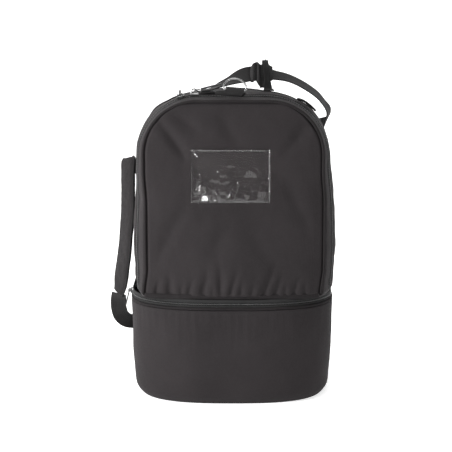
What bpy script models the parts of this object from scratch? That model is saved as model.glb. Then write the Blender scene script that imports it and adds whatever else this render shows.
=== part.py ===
"""A two-compartment travel shoe bag: a zip-round shoe compartment under a tall, round-topped main compartment.

Origin at the centre of the flat underside; front towards -Y, right towards +X, up +Z. Metres.
The upper body hinges on the base along the rear seam, and the piped front panel hinges on its bottom seam.
"""
import math

import bmesh
import bpy
import numpy as np
from mathutils import Matrix, Vector

MM = 0.001
GAP = 0.3 * MM  # clearance between neighbouring pieces

# Shoe compartment
BASE_HALF_FOOT = 149 * MM
BASE_HALF_RIM = 154.5 * MM
BASE_FRONT = 100 * MM
BASE_BACK = 96 * MM
BASE_HEIGHT = 146 * MM
BASE_WALL = 4 * MM
FLOOR_T = 3 * MM
BOARD_T = 2.4 * MM
FOOT_ROUND = 18 * MM  # height over which the wall rolls under at the foot
FOOT_TUCK = 9 * MM
REAR_CORNER = 0.128  # share of the plan's length from its back centre to the edge of the back wall

# Zip round the top of the shoe compartment, from the rim up
RIM_Z = 148.3 * MM
LOW_TAPE_Z = (150.7 * MM, 152.9 * MM)
BASE_COIL_Z = 154.9 * MM
HIGH_TAPE_Z = (156.9 * MM, 161.4 * MM)
ZIP_INSET = 3 * MM
COIL_R = 1.6 * MM
COIL_RISE = 0.8 * MM  # the coil's centre above the tapes'
PIPING_R = 2.2 * MM
TAPE_T = 1.4 * MM

# Main compartment
DIVIDER_Z = (161.8 * MM, 164.4 * MM)
FOOT_Z = 166 * MM
TOP_Z = 452 * MM
SIDE_LEVEL = 230 * MM  # below it the sides draw in to the foot, above it they lean in up to LEAN_TOP
LEAN_TOP = 366 * MM
FOOT_FLARE = -4 * MM
TOP_LEAN = 8 * MM
CROWN_Z = 6 * MM  # how much higher the gusset is at its middle than at its seams
SWAY = 4.2 * MM  # how far the full bag leans to the right below its window
SWAY_TOP = 1.5 * MM
SHOULDER_DROP = 7.2 * MM  # how far the shoulders slope off towards the back seam
FRONT_SEAM_Y = -80 * MM
BACK_SEAM_Y = 90 * MM
FRONT_HALF = 131 * MM
BACK_HALF = 136 * MM
WIDEST_HALF = 154 * MM
FRONT_CORNER = 78 * MM
WIDEST_CORNER = 98 * MM
SHELL_T = 2.5 * MM
PANEL_CROWN = 14.5 * MM
BACK_PAD_T = 8 * MM

# Bands of the gusset, from the front piping to the back piping
STRIP_Y = (-76.9 * MM, -55.2 * MM)
FRONT_TAPE_Y = (-54.8 * MM, -50.0 * MM)
ZIP_Y = -48 * MM
REAR_TAPE_Y = (-46.0 * MM, -41.2 * MM)
GUSSET_Y = (-40.8 * MM, 86.8 * MM)

# Joints
REAR_HINGE = Vector((0, 97 * MM, 153 * MM))
FLAP_HINGE = Vector((0, -98 * MM, 165.2 * MM))

# Hardware
WEBBING = 25 * MM
WEBBING_T = 1.6 * MM
PAD_T = 11 * MM
RING_WIRE_R = 1.5 * MM
RING_HALF = 16.5 * MM
TAB_TILT = math.radians(5)
LEFT_SLIDER_ANGLE = math.radians(17)  # along the corner, from the top
RIGHT_SLIDER_X = -55 * MM
BASE_SLIDER_Y = -8 * MM
SLIDER_LONG = 12 * MM
BRIDGE_RISE = 6.9 * MM
PULL_STRIP = 26 * MM
PULL_LIFT = math.radians(8)  # the left pull lies back on the swell of the gusset

FABRIC = ("black_polyester", (0.043, 0.038, 0.039), 0.82, 0.0)
WEB = ("black_webbing", (0.046, 0.043, 0.042), 0.78, 0.0)
BOARD = ("grey_board", (0.10, 0.10, 0.10), 0.7, 0.0)
COIL = ("nylon_coil", (0.03, 0.03, 0.03), 0.45, 0.0)
STEEL = ("nickel_steel", (0.62, 0.62, 0.61), 0.28, 1.0)
GUNMETAL = ("gunmetal", (0.12, 0.12, 0.12), 0.35, 1.0)
PULL = ("moulded_pull", (0.05, 0.05, 0.05), 0.5, 0.0)
VINYL = ("clear_vinyl", (0.75, 0.75, 0.75), 0.12, 0.0)

for leftover in list(bpy.data.objects):
    bpy.data.objects.remove(leftover, do_unlink=True)
parts = bpy.data.collections.new("shoe_bag")
cutters = bpy.data.collections.new("cutters")
bpy.context.scene.collection.children.link(parts)
bpy.context.scene.collection.children.link(cutters)


def finish_of(name, recipe):
    """Each piece has its own Principled material."""
    _, colour, roughness, metallic = recipe
    made = bpy.data.materials.new(name + "_" + recipe[0])
    made.use_nodes = True
    shader = made.node_tree.nodes["Principled BSDF"]
    shader.inputs["Base Color"].default_value = (*colour, 1)
    shader.inputs["Roughness"].default_value = roughness
    shader.inputs["Metallic"].default_value = metallic
    return made


def piece(name, data, recipe, parent=None, place=None):
    """Links an object into the bag; its data is in world space unless a place is given."""
    obj = bpy.data.objects.new(name, data)
    parts.objects.link(obj)
    data.materials.append(finish_of(name, recipe))
    if place is not None:
        obj.matrix_world = place
    if parent:
        obj.parent = parent
        obj.matrix_parent_inverse = parent_world[parent.name].inverted()
    return obj


parent_world = {}


def sheet(name, rows, thickness, recipe, parent=None):
    """A grid of points skinned with quads and thickened half to each side."""
    mesh = bpy.data.meshes.new(name)
    across = len(rows[0])
    faces = [
        (r * across + c, r * across + c + 1, (r + 1) * across + c + 1, (r + 1) * across + c)
        for r in range(len(rows) - 1)
        for c in range(across - 1)
    ]
    mesh.from_pydata([p for row in rows for p in row], [], faces)
    mesh.shade_smooth()
    obj = piece(name, mesh, recipe, parent)
    solid = obj.modifiers.new("thickness", "SOLIDIFY")
    solid.thickness = thickness
    solid.offset = 0
    solid.use_even_offset = True
    return obj


def slab(name, outline, low, high, recipe, parent=None):
    """A flat plate with the given outline between two heights."""
    mesh = bpy.data.meshes.new(name)
    middle = (low + high) / 2
    mesh.from_pydata([(x, y, middle) for x, y in outline], [], [tuple(range(len(outline)))])
    obj = piece(name, mesh, recipe, parent)
    solid = obj.modifiers.new("thickness", "SOLIDIFY")
    solid.thickness = high - low
    solid.offset = 0
    return obj


def cord(name, points, radius, recipe, parent=None, closed=False, sides=1, place=None):
    """A round bead, wire or piping along the points."""
    curve = bpy.data.curves.new(name, "CURVE")
    curve.dimensions = "3D"
    spline = curve.splines.new("POLY")
    spline.points.add(len(points) - 1)
    for point, target in zip(spline.points, points):
        point.co = (*target, 1)
    spline.use_cyclic_u = closed
    curve.bevel_depth = radius
    curve.bevel_resolution = sides
    curve.use_fill_caps = not closed
    return piece(name, curve, recipe, parent, place)


def smooth_path(points, steps=4):
    """Catmull-Rom curve through the points."""
    ends = [points[0] * 2 - points[1], *points, points[-1] * 2 - points[-2]]
    path = []
    for a, b, c, d in zip(ends, ends[1:], ends[2:], ends[3:]):
        for step in range(steps):
            t = step / steps
            path.append(
                0.5 * (2 * b + (c - a) * t + (2 * a - 5 * b + 4 * c - d) * t**2 + (3 * b - a - 3 * c + d) * t**3)
            )
    return path + [points[-1]]


def ribbon(name, route, width, thickness, recipe, parent=None, steps=4, columns=1):
    """A flat strap: the route lists (centre in mm, width direction), the width may be a function of 0 to 1."""
    centres = smooth_path([Vector(c) * MM for c, _ in route], steps)
    leans = smooth_path([Vector(a) for _, a in route], steps)
    rows = []
    for i, (centre, lean) in enumerate(zip(centres, leans)):
        ahead = centres[min(i + 1, len(centres) - 1)] - centres[max(i - 1, 0)]
        ahead.normalize()
        across = (lean - ahead * lean.dot(ahead)).normalized()
        half = (width(i / (len(centres) - 1)) if callable(width) else width) / 2
        rows.append([centre + across * half * (2 * c / columns - 1) for c in range(columns + 1)])
    return sheet(name, rows, thickness, recipe, parent)


def plan_curve(half, front, back, inset=0.0):
    """The base's plan as a function of 0 to 1 from its back centre round by the left: bowed front, squared back."""
    half, front, back = half - inset, front - inset, back - inset
    points = []
    for step in range(721):
        angle = math.pi / 2 + 2 * math.pi * step / 720
        cosine, sine = math.cos(angle), math.sin(angle)
        power = 2 / 2.7 if sine < 0 else 2 / 7
        depth = front if sine < 0 else back
        points.append(
            (
                math.copysign(half * abs(cosine) ** power, cosine),
                math.copysign(depth * abs(sine) ** power, sine),
            )
        )
    points = np.array(points)
    length = np.concatenate([[0], np.cumsum(np.linalg.norm(np.diff(points, axis=0), axis=1))])
    length /= length[-1]
    return lambda t: (float(np.interp(t % 1, length, points[:, 0])), float(np.interp(t % 1, length, points[:, 1])))


def wall_curve(z, inset=0.0):
    """The plan of the base's wall at a height, rolled under at the foot."""
    half = BASE_HALF_FOOT + (BASE_HALF_RIM - BASE_HALF_FOOT) * z / BASE_HEIGHT
    tuck = FOOT_TUCK * max(0, 1 - z / FOOT_ROUND) ** 2
    return plan_curve(half, BASE_FRONT, BASE_BACK, inset + tuck)


def spread(low, high, count):
    return [low + (high - low) * i / (count - 1) for i in range(count)]


def ring_path(curve, z, start=REAR_CORNER, end=1 - REAR_CORNER, count=33):
    return [Vector((*curve(t), z)) for t in spread(start, end, count)]


def ease(x, low, high):
    x = min(1, max(0, (x - low) / (high - low)))
    return x * x * (3 - 2 * x)


def side_lean(z):
    """The bulging sides draw in towards the foot and towards the top."""
    if z < SIDE_LEVEL:
        return FOOT_FLARE * (SIDE_LEVEL - z) / (SIDE_LEVEL - FOOT_Z)
    return -TOP_LEAN * min(1, (z - SIDE_LEVEL) / (LEAN_TOP - SIDE_LEVEL))


def sway(y, z):
    """Sideways shift of the main compartment; its front and back seams stay put at the foot."""
    rising = ease(z, FOOT_Z, FOOT_Z + 40 * MM)
    low = SWAY * (rising + (1 - rising) * swell(y))
    return low + (SWAY_TOP - SWAY) * ease(z, 300 * MM, 352 * MM)


def settled(x, y, z):
    """A point of the main compartment's seams or gusset, shifted by its sway and its sloping shoulders."""
    slope = ease(abs(x), 10 * MM, 85 * MM) * (1 - ease(abs(x), 98 * MM, 130 * MM)) * ease(z, 380 * MM, 430 * MM)
    return Vector((x + sway(y, z), y, z - SHOULDER_DROP * ease(y, -36 * MM, 90 * MM) * slope))


def arch(half, top, corner, foot, lean=0.0):
    """(x, z) points from the left foot, over a round-cornered top, to the right foot."""
    left = [(-half, z) for z in spread(foot, top - corner, 6)[:-1]]
    for angle in spread(math.pi, math.pi / 2, 9):
        left.append((corner - half + corner * math.cos(angle), top - corner + corner * math.sin(angle)))
    points = left + [(0, top)] + [(-x, z) for x, z in reversed(left)]
    return [(x + lean * side_lean(z) * (x > 0) - lean * side_lean(z) * (x < 0), z) for x, z in points]


def swell(y):
    """0 at either seam of the gusset and 1 midway."""
    return max(0.0, math.sin(math.pi * (y - FRONT_SEAM_Y) / (BACK_SEAM_Y - FRONT_SEAM_Y))) ** 0.7


def gusset_size(y, inset=0.0):
    """Half width, top and corner radius of the gusset's arch at a depth."""
    share = (y - FRONT_SEAM_Y) / (BACK_SEAM_Y - FRONT_SEAM_Y)
    seam = FRONT_HALF + (BACK_HALF - FRONT_HALF) * share
    half = seam + (WIDEST_HALF - (FRONT_HALF + BACK_HALF) / 2) * swell(y)
    corner = FRONT_CORNER + (WIDEST_CORNER - FRONT_CORNER) * swell(y)
    return half - inset, TOP_Z + CROWN_Z * swell(y) - inset, corner - inset


def gusset_row(y, inset=0.0, foot=FOOT_Z):
    return [settled(x, y, z) for x, z in arch(*gusset_size(y, inset), foot, swell(y))]


def band(name, span, count, thickness, recipe, foot=FOOT_Z, parent=None):
    return sheet(name, [gusset_row(y, 0, foot) for y in spread(*span, count)], thickness, recipe, parent)


def panel_y(share, z):
    """Depth of the crowned front panel: share is -1 to 1 across it."""
    rise = (z - FOOT_Z) / (TOP_Z - FOOT_Z)
    return FRONT_SEAM_Y - PANEL_CROWN * (1 - share**2) ** 0.9 * (1 - max(0, rise) ** 3)


def panel_half(z, half, top, corner):
    """Half width of a round-topped panel at a height."""
    if z <= top - corner:
        return half
    return half - corner + math.sqrt(max(0, corner**2 - (z - top + corner) ** 2))


def panel_rows(half, top, corner, foot, depth, seam, columns=10):
    straight = spread(foot, top - corner, 6)
    curved = [top - corner + corner * math.sin(a) for a in spread(0, math.pi / 2, 7)[1:]]
    rows = []
    for z in straight + curved:
        reach = panel_half(z, half, top, corner)
        row = [(settled(reach * s, seam, z), depth(s, z)) for s in spread(-1, 1, columns + 1)]
        rows.append([Vector((point.x, y, point.z)) for point, y in row])
    return rows


def joined(target, other, operation):
    """Boolean with a helper that stays hidden."""
    for holder in list(other.users_collection):
        holder.objects.unlink(other)
    cutters.objects.link(other)
    other.hide_render = True
    other.display_type = "WIRE"
    change = target.modifiers.new(operation.lower(), "BOOLEAN")
    change.operation = operation
    change.object = other


def block(name, size, at):
    """A box mesh object of the given size and centre, in the space of its later parent."""
    mesh = bpy.data.meshes.new(name)
    build = bmesh.new()
    bmesh.ops.create_cube(build, size=1)
    bmesh.ops.scale(build, vec=size, verts=build.verts)
    bmesh.ops.translate(build, vec=at, verts=build.verts)
    build.to_mesh(mesh)
    build.free()
    return mesh


def rod_mesh(name, radius, length, at, turn, segments=16):
    mesh = bpy.data.meshes.new(name)
    build = bmesh.new()
    bmesh.ops.create_cone(build, cap_ends=True, segments=segments, radius1=radius, radius2=radius, depth=length)
    bmesh.ops.transform(build, matrix=Matrix.Translation(at) @ turn, verts=build.verts)
    build.to_mesh(mesh)
    build.free()
    return mesh


# ---------------------------------------------------------------- shoe compartment
def shoe_compartment():
    floor_curve = wall_curve(0, 0.5 * MM)
    slab("base_floor", [floor_curve(t) for t in spread(0, 1, 49)[:-1]], 0, FLOOR_T, FABRIC)
    board_curve = wall_curve(0, 2 * MM)
    board_low = FLOOR_T + GAP
    slab("base_board", [board_curve(t) for t in spread(0, 1, 41)[:-1]], board_low, board_low + BOARD_T, BOARD)
    levels = [FLOOR_T + GAP, 9 * MM, FOOT_ROUND, 80 * MM, BASE_HEIGHT]
    curves = [wall_curve(z, BASE_WALL / 2) for z in levels]
    wrap = [ring_path(c, z) for c, z in zip(curves, levels)]
    sheet("base_wrap_wall", wrap, BASE_WALL, FABRIC)
    edge = REAR_CORNER - 0.004
    back = [ring_path(c, z, -edge, edge, 13) for c, z in zip(curves, levels)]
    sheet("base_back_wall", back, BASE_WALL, FABRIC)
    rim = plan_curve(BASE_HALF_RIM, BASE_FRONT, BASE_BACK, PIPING_R)
    cord("base_rim_piping", ring_path(rim, RIM_Z), 2 * MM, FABRIC)
    zip_line = plan_curve(BASE_HALF_RIM, BASE_FRONT, BASE_BACK, ZIP_INSET)
    sheet("base_zip_lower_tape", [ring_path(zip_line, z) for z in LOW_TAPE_Z], TAPE_T, FABRIC)
    cord("base_zip_coil", ring_path(zip_line, BASE_COIL_Z), COIL_R, COIL)
    sheet("base_zip_upper_tape", [ring_path(zip_line, z) for z in HIGH_TAPE_Z], TAPE_T, FABRIC)
    hinge_line = [Vector((x, 94 * MM, 149.4 * MM)) for x in spread(-105 * MM, 105 * MM, 9)]
    cord("rear_hinge_binding", hinge_line, 2 * MM, FABRIC)


# ---------------------------------------------------------------- main compartment
def divider_outline(inset):
    front = [
        (s * (FRONT_HALF - inset), panel_y(s, FOOT_Z) + inset / 2) for s in spread(-1, 1, 15)
    ]
    right = [(gusset_size(y)[0] + FOOT_FLARE * swell(y) - inset, y) for y in spread(-60 * MM, 80 * MM, 8)]
    back = [(x, BACK_SEAM_Y - inset) for x in (120 * MM, -120 * MM)]
    left = [(-x, y) for x, y in reversed(right)]
    return [(x + sway(y, FOOT_Z), y) for x, y in front + right + back + left]


def main_compartment():
    slab("divider_floor", divider_outline(1 * MM), *DIVIDER_Z, FABRIC)
    band("main_gusset", GUSSET_Y, 9, SHELL_T, FABRIC)
    back_half, back_top, back_corner = BACK_HALF - 2.9 * MM, TOP_Z - 2.9 * MM, FRONT_CORNER - 2.9 * MM
    middle = 91.2 * MM
    rows = panel_rows(back_half, back_top, back_corner, FOOT_Z, lambda s, z: middle, BACK_SEAM_Y, 6)
    sheet("back_panel", rows, BACK_PAD_T, FABRIC)
    back_arch = arch(BACK_HALF + 2.2 * MM, TOP_Z + 2.2 * MM, FRONT_CORNER, FOOT_Z)
    back_line = [settled(x, BACK_SEAM_Y, z) for x, z in back_arch]
    cord("back_piping", back_line, PIPING_R, FABRIC)
    band("main_zip_rear_tape", REAR_TAPE_Y, 2, TAPE_T, FABRIC)
    cord("main_zip_coil", gusset_row(ZIP_Y, -COIL_RISE), COIL_R, COIL)


# ---------------------------------------------------------------- front flap
def front_flap():
    rows = panel_rows(
        FRONT_HALF - 2.8 * MM, TOP_Z - 2.8 * MM, FRONT_CORNER - 2.8 * MM, FOOT_Z + 0.4 * MM, panel_y, FRONT_SEAM_Y
    )
    sheet("front_panel", rows, SHELL_T, FABRIC)
    cord("front_piping", gusset_row(FRONT_SEAM_Y + 0.5 * MM), PIPING_R, FABRIC)
    band("front_gusset_strip", STRIP_Y, 4, SHELL_T, FABRIC)
    band("main_zip_front_tape", FRONT_TAPE_Y, 2, TAPE_T, FABRIC)
    card_window()


def card_window():
    """A clear pocket sewn on the front panel, held by a narrow binding along its foot."""
    left, right, low, high = -59 * MM, 55 * MM, 307 * MM, 383 * MM
    proud = SHELL_T / 2 + 0.9 * MM
    rows = [
        [Vector((x, panel_y((x - SWAY_TOP) / FRONT_HALF, z) - proud, z)) for x in spread(left, right, 9)]
        for z in spread(low, high, 7)
    ]
    sheet("card_window", rows, 0.7 * MM, VINYL)


# ---------------------------------------------------------------- D-ring
def ring_and_tab():
    """The tab is a folded webbing standing on the strip, with a tube along its top for the ring's bar."""
    at = Vector((4 * MM, -66 * MM, 467.5 * MM))
    world = Matrix.Translation(at) @ Matrix.Rotation(TAB_TILT, 4, "Y")
    axis = holder_at("d_ring_axis", world)
    tab = piece("d_ring_tab", block("tab", (40 * MM, 2.6 * MM, 9.2 * MM), (-8 * MM, 0, -5.4 * MM)), WEB, place=world)
    lying = Matrix.Rotation(math.pi / 2, 4, "Y")
    tube = piece("tab_tube", rod_mesh("tube", 3.3 * MM, 27 * MM, (0, 0, 0), lying), WEB, place=world)
    hole = piece("tab_hole", rod_mesh("hole", 2.1 * MM, 40 * MM, (0, 0, 0), lying), WEB, place=world)
    joined(tab, tube, "UNION")
    joined(tab, hole, "DIFFERENCE")
    lean = Matrix.Rotation(math.radians(-12), 4, "X")
    bow = [
        Vector((-RING_HALF * math.cos(a), 0, 3 * MM + 13 * MM * math.sin(a))) for a in spread(0, math.pi, 15)
    ]
    outline = [Vector((-RING_HALF, 0, 0)), *bow, Vector((RING_HALF, 0, 0))]
    outline = [lean @ p for p in outline]
    cord("d_ring", outline, RING_WIRE_R, STEEL, axis, closed=True, sides=2, place=world)


# ---------------------------------------------------------------- zip sliders
def holder_at(name, world):
    """An empty on a joint's axis, with its full placement."""
    obj = bpy.data.objects.new(name, None)
    parts.objects.link(obj)
    obj.matrix_world = world
    parent_world[name] = world
    return obj


def saddle_of(name, profile, holder, world):
    """A slider's body: its cross-section over the coil, run along the zip."""
    mesh = bpy.data.meshes.new(name)
    mesh.from_pydata([(0, y, z) for y, z in profile], [], [tuple(range(len(profile)))])
    saddle = piece(name, mesh, GUNMETAL, holder, world)
    solid = saddle.modifiers.new("length", "SOLIDIFY")
    solid.thickness = SLIDER_LONG
    solid.offset = 0
    return saddle


def bridged_slider(name, world, pull_angle, pull_length, pull_width):
    """A slider with a bridge along it, which holds a wire link and a moulded pull.

    In its own space +X is along the zip, +Y across it and +Z outwards; z = 0 is the coil's centre.
    """
    holder = holder_at(name + "_axis", world)
    half_wide, top, foot = 4.2 * MM, 4.2 * MM, 0.9 * MM
    slot, chamfer = COIL_R + 0.5 * MM, 1.3 * MM
    profile = [
        (-half_wide, foot), (-half_wide, top - chamfer), (-half_wide + chamfer, top), (half_wide - chamfer, top),
        (half_wide, top - chamfer), (half_wide, foot), (slot, foot), (slot, slot), (-slot, slot), (-slot, foot),
    ]
    saddle = saddle_of(name, profile, holder, world)
    bow = [Vector((5 * MM * math.cos(a), 0, top - 0.6 * MM + BRIDGE_RISE * math.sin(a))) for a in spread(0, math.pi, 9)]
    bridge = cord(name + "_bridge", bow, 0.9 * MM, GUNMETAL, place=world)
    bpy.context.view_layer.update()
    welded = bpy.data.meshes.new_from_object(bridge.evaluated_get(bpy.context.evaluated_depsgraph_get()))
    build = bmesh.new()
    build.from_mesh(welded)
    bmesh.ops.remove_doubles(build, verts=build.verts, dist=0.01 * MM)
    build.to_mesh(welded)
    build.free()
    bpy.data.objects.remove(bridge)
    joined(saddle, piece(name + "_bridge", welded, GUNMETAL, place=world), "UNION")
    hang = world @ Matrix.Translation((0, 0, top + BRIDGE_RISE - 3.1 * MM)) @ Matrix.Rotation(-pull_angle, 4, "Y")
    pin = holder_at(name + "_pull_axis", hang)
    wide, reach = pull_width / 2, 8.5 * MM
    frame = [Vector((0, -wide, 0)), Vector((reach, -wide, 0)), Vector((reach, wide, 0)), Vector((0, wide, 0))]
    cord(name + "_link", frame, 0.7 * MM, GUNMETAL, pin, closed=True, place=hang)
    size = (pull_length, pull_width + 1.2 * MM, 2.4 * MM)
    grip = piece(name + "_pull", block("grip", size, (reach + 1.1 * MM + pull_length / 2, 0, 0)), PULL, pin, hang)
    rounding = grip.modifiers.new("rounding", "BEVEL")
    rounding.width = 0.9 * MM
    rounding.segments = 2


def facing(along, outward):
    """Axes of a slider: X along the zip, Z outwards."""
    x = along.normalized()
    z = (outward - x * outward.dot(x)).normalized()
    y = z.cross(x)
    return Matrix((x, y, z)).transposed().to_4x4()


def corner_centre():
    half, top, corner = gusset_size(ZIP_Y, -COIL_RISE)
    return Vector((corner - half + TOP_LEAN * swell(ZIP_Y) + SWAY_TOP, ZIP_Y, top - corner)), corner


def eared_slider(name, world, joint, pull_ahead, pull_up):
    """A slider whose pull swings sideways, about a pin that lies along the zip between two ears."""
    holder = holder_at(name + "_axis", joint)
    half_wide, top, foot = 3.6 * MM, 4.2 * MM, 1.2 * MM
    slot = COIL_R + 0.5 * MM
    profile = [
        (-half_wide, foot), (-half_wide, top), (half_wide, top), (half_wide, foot),
        (slot, foot), (slot, slot), (-slot, slot), (-slot, foot),
    ]
    saddle = saddle_of(name, profile, holder, world)
    pin_z = top + 2 * MM
    for end in (-1, 1):
        ear = block("ear", (1.4 * MM, 3.6 * MM, 4.4 * MM), (end * 3.4 * MM, 0, pin_z - 0.4 * MM))
        joined(saddle, piece(f"{name}_ear_{end}", ear, GUNMETAL, place=world), "UNION")
    along = Matrix.Rotation(math.pi / 2, 4, "Y")
    hole = rod_mesh("pin_hole", 0.95 * MM, 20 * MM, (0, 0, pin_z), along, 12)
    joined(saddle, piece(name + "_pin_hole", hole, GUNMETAL, place=world), "DIFFERENCE")
    at = (world @ Matrix.Translation((0, 0, pin_z))).translation
    turn = Matrix.Translation(at) @ facing(pull_ahead, pull_up)
    pin = holder_at(name + "_pull_axis", turn)
    rod = rod_mesh("pin", 0.65 * MM, 8.6 * MM, (0, 0, 0), Matrix.Rotation(math.pi / 2, 4, "X"), 12)
    pull = piece(name + "_pull", rod, PULL, pin, turn)
    strip = block("strip", (PULL_STRIP, 3.6 * MM, 2.0 * MM), (PULL_STRIP / 2 + 0.4 * MM, 0, 0))
    joined(pull, piece(name + "_pull_strip", strip, PULL, place=turn), "UNION")


def sliders():
    centre, radius = corner_centre()
    angle = LEFT_SLIDER_ANGLE
    outward = Vector((-math.sin(angle), 0, math.cos(angle)))
    along = Vector((math.cos(angle), 0, math.sin(angle)))
    world = Matrix.Translation(centre + outward * radius) @ facing(along, outward)
    lying = Vector((0, 1, 0)) + outward * math.tan(PULL_LIFT)
    eared_slider("main_zip_slider_left", world, Matrix.Translation(centre), lying, outward)
    top = gusset_size(ZIP_Y, -COIL_RISE)[1]
    place = Vector((RIGHT_SLIDER_X, ZIP_Y, top))
    world = Matrix.Translation(place) @ facing(Vector((1, 0, 0)), Vector((0, 0, 1)))
    bridged_slider("main_zip_slider_right", world, math.radians(14), 31 * MM, 5 * MM)
    side = BASE_HALF_RIM - ZIP_INSET
    place = Vector((-side, BASE_SLIDER_Y, BASE_COIL_Z))
    world = Matrix.Translation(place) @ facing(Vector((0, 1, 0)), Vector((-1, 0, 0)))
    hang = math.radians(14)
    down = Vector((-math.sin(hang), 0, -math.cos(hang)))
    eared_slider("base_zip_slider", world, world, down, Vector((-1, 0, 0)))


# ---------------------------------------------------------------- webbing
def haul_loop():
    """A webbing loop that stands across the top, front foot to rear foot, with the sling strap threaded through it."""
    side = (1, 0, 0)

    def gathered(share):
        return (17 - 8 * min(1, 4 * share, 4 * (1 - share))) * MM

    ribbon(
        "haul_loop",
        [
            ((55, -9, 461.0), side), ((54, 0, 463), side), ((53, 4, 477), side), ((51, 11, 495), side),
            ((50, 26, 503), side), ((50, 42, 495), side), ((50, 50, 478), side), ((51, 56, 461.5), side),
            ((51, 65, 458.6), side),
        ],
        gathered, 2 * MM, WEB,
    )


def sling():
    """One strap: sewn on the top behind the zip, threaded through the haul loop, slack behind the back panel,
    then the shoulder pad down the left side, and webbing round to the back of the shoe compartment."""
    outline = [(x * MM, y * MM) for x, y in ((-48, -37), (-16, -37), (-16, -9), (-48, -9))]
    slab("strap_landing_patch", outline, 460.2 * MM, 461.4 * MM, WEB)
    ribbon(
        "sling_webbing_upper",
        [
            ((-46, -23, 462.6), (0, 1, 0)), ((-32, -22, 464.2), (0, 1, 0)), ((-20, -17, 468.6), (0, 1, 0.15)),
            ((-9, -10, 472.8), (0, 0.95, 0.3)), ((5, -3, 477.8), (0, 0.85, 0.5)), ((23, 10, 483.6), (0, 0.65, 0.75)),
            ((43, 22, 484.5), (0, 0.72, 0.68)), ((69, 28, 480.5), (0, 0.88, 0.45)), ((89, 35, 475), (0.05, 0.93, 0.36)),
            ((112, 44, 463), (0.12, 0.95, 0.3)), ((133, 56, 447), (0.18, 0.96, 0.2)),
            ((147, 70, 428), (0.2, 0.97, 0.1)), ((150.5, 86, 413), (0.35, 0.85, 0.4)), ((146, 101, 400), (0.35, 0.45, 0.8)),
            ((124, 112, 388), (0.1, 0.1, 1)), ((88, 115, 371), (0.2, 0, 1)), ((40, 118, 350), (0.2, 0, 1)),
            ((-10, 119, 331), (0.15, 0, 1)), ((-60, 118, 317), (0.1, 0, 1)), ((-104, 115, 312), (0, 0, 1)),
            ((-136, 105, 318), (-0.3, 0.1, 1)), ((-153, 92, 332), (-0.5, -0.3, 0.9)),
        ],
        WEBBING, WEBBING_T, WEB, steps=3,
    )
    corners = ((-4, -16), (4, -16), (4, 16), (-4, 16))
    lean = Matrix.Rotation(math.radians(-20), 3, "Y")
    middle = Vector((40, 118, 350)) * MM
    frame = [middle + lean @ Vector((0, dy * MM, dz * MM)) for dy, dz in corners]
    cord("strap_adjuster", frame, 1.6 * MM, GUNMETAL, closed=True)

    def pad_width(share):
        return (24 + 34 * min(1, 6 * share, 6 * (1 - share))) * MM

    ribbon(
        "shoulder_pad",
        [
            ((-160, 82, 342), (-0.3, -0.8, 0.6)), ((-162.5, 69, 338), (0, -0.9, 0.5)),
            ((-163.5, 55, 321), (0.2, -1, 0.3)), ((-163.5, 47, 297), (0.25, -1, 0.1)),
            ((-164, 43, 268), (0.25, -1, 0)), ((-166, 41, 235), (0.25, -1, 0)),
            ((-169.5, 43, 200), (0.28, -1, 0)), ((-175, 48, 165), (0.35, -1, 0)), ((-180, 57, 134), (0.6, -0.8, 0)),
        ],
        pad_width, PAD_T, FABRIC, steps=3, columns=2,
    )
    ribbon(
        "sling_webbing_lower",
        [
            ((-180, 58, 132.5), (0.9, -0.4, 0)), ((-181, 60, 118), (1, 0.1, 0)),
            ((-180.5, 63, 105), (1, 0.1, 0.15)), ((-177, 70, 92), (0.8, 0.1, 0.5)),
            ((-168, 80, 82), (0.5, 0, 0.8)), ((-155, 92, 78), (0.1, 0, 1)), ((-140, 100.5, 76), (0, 0, 1)),
            ((-124, 101, 76), (0, 0, 1)),
        ],
        WEBBING, WEBBING_T, WEB, steps=3,
    )
    patch = [Vector((x * MM, 98 * MM, z * MM)) for z in (60, 92) for x in (-132, -100)]
    sheet("lower_strap_patch", [patch[:2], patch[2:]], 1.4 * MM, WEB)


def side_tab():
    """A short folded tab on the right shoulder of the gusset."""
    side = (0, 1, 0)
    ribbon(
        "side_tab",
        [((97, -22, 450.8), side), ((106, -22, 447.8), side), ((115, -22, 442), side), ((124, -22, 433.4), side)],
        16 * MM, 2.4 * MM, WEB, steps=2,
    )


holder_at("rear_hinge_axis", Matrix.Translation(REAR_HINGE))
holder_at("flap_hinge_axis", Matrix.Translation(FLAP_HINGE))
shoe_compartment()
main_compartment()
front_flap()
ring_and_tab()
sliders()
haul_loop()
sling()
side_tab()
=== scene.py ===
"""The look of a two-compartment travel shoe bag.

Sewn cloth shells, zips, webbing and fittings round the CAD frame.

Lengths in the shaping functions are millimetres, turned into metres where each mesh is made.
Front towards -Y, right towards +X, up +Z; the flat underside rests on z = 0.
"""
import math

import bmesh
import bpy
import numpy as np
from mathutils import Matrix, Vector, noise


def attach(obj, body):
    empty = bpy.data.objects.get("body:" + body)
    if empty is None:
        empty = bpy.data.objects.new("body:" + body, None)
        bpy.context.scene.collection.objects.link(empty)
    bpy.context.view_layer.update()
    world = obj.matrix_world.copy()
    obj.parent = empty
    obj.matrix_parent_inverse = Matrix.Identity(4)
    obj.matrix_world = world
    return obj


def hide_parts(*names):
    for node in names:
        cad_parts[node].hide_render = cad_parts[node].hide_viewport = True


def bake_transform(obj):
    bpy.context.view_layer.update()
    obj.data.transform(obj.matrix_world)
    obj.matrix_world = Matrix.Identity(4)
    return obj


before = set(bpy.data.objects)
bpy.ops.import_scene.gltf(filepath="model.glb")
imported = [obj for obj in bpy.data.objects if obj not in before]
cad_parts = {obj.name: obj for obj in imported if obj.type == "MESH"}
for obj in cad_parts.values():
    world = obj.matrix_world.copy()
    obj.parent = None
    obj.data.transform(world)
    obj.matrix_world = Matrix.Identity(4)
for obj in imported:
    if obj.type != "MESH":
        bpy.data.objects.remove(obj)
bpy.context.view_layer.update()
MM = 0.001

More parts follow.
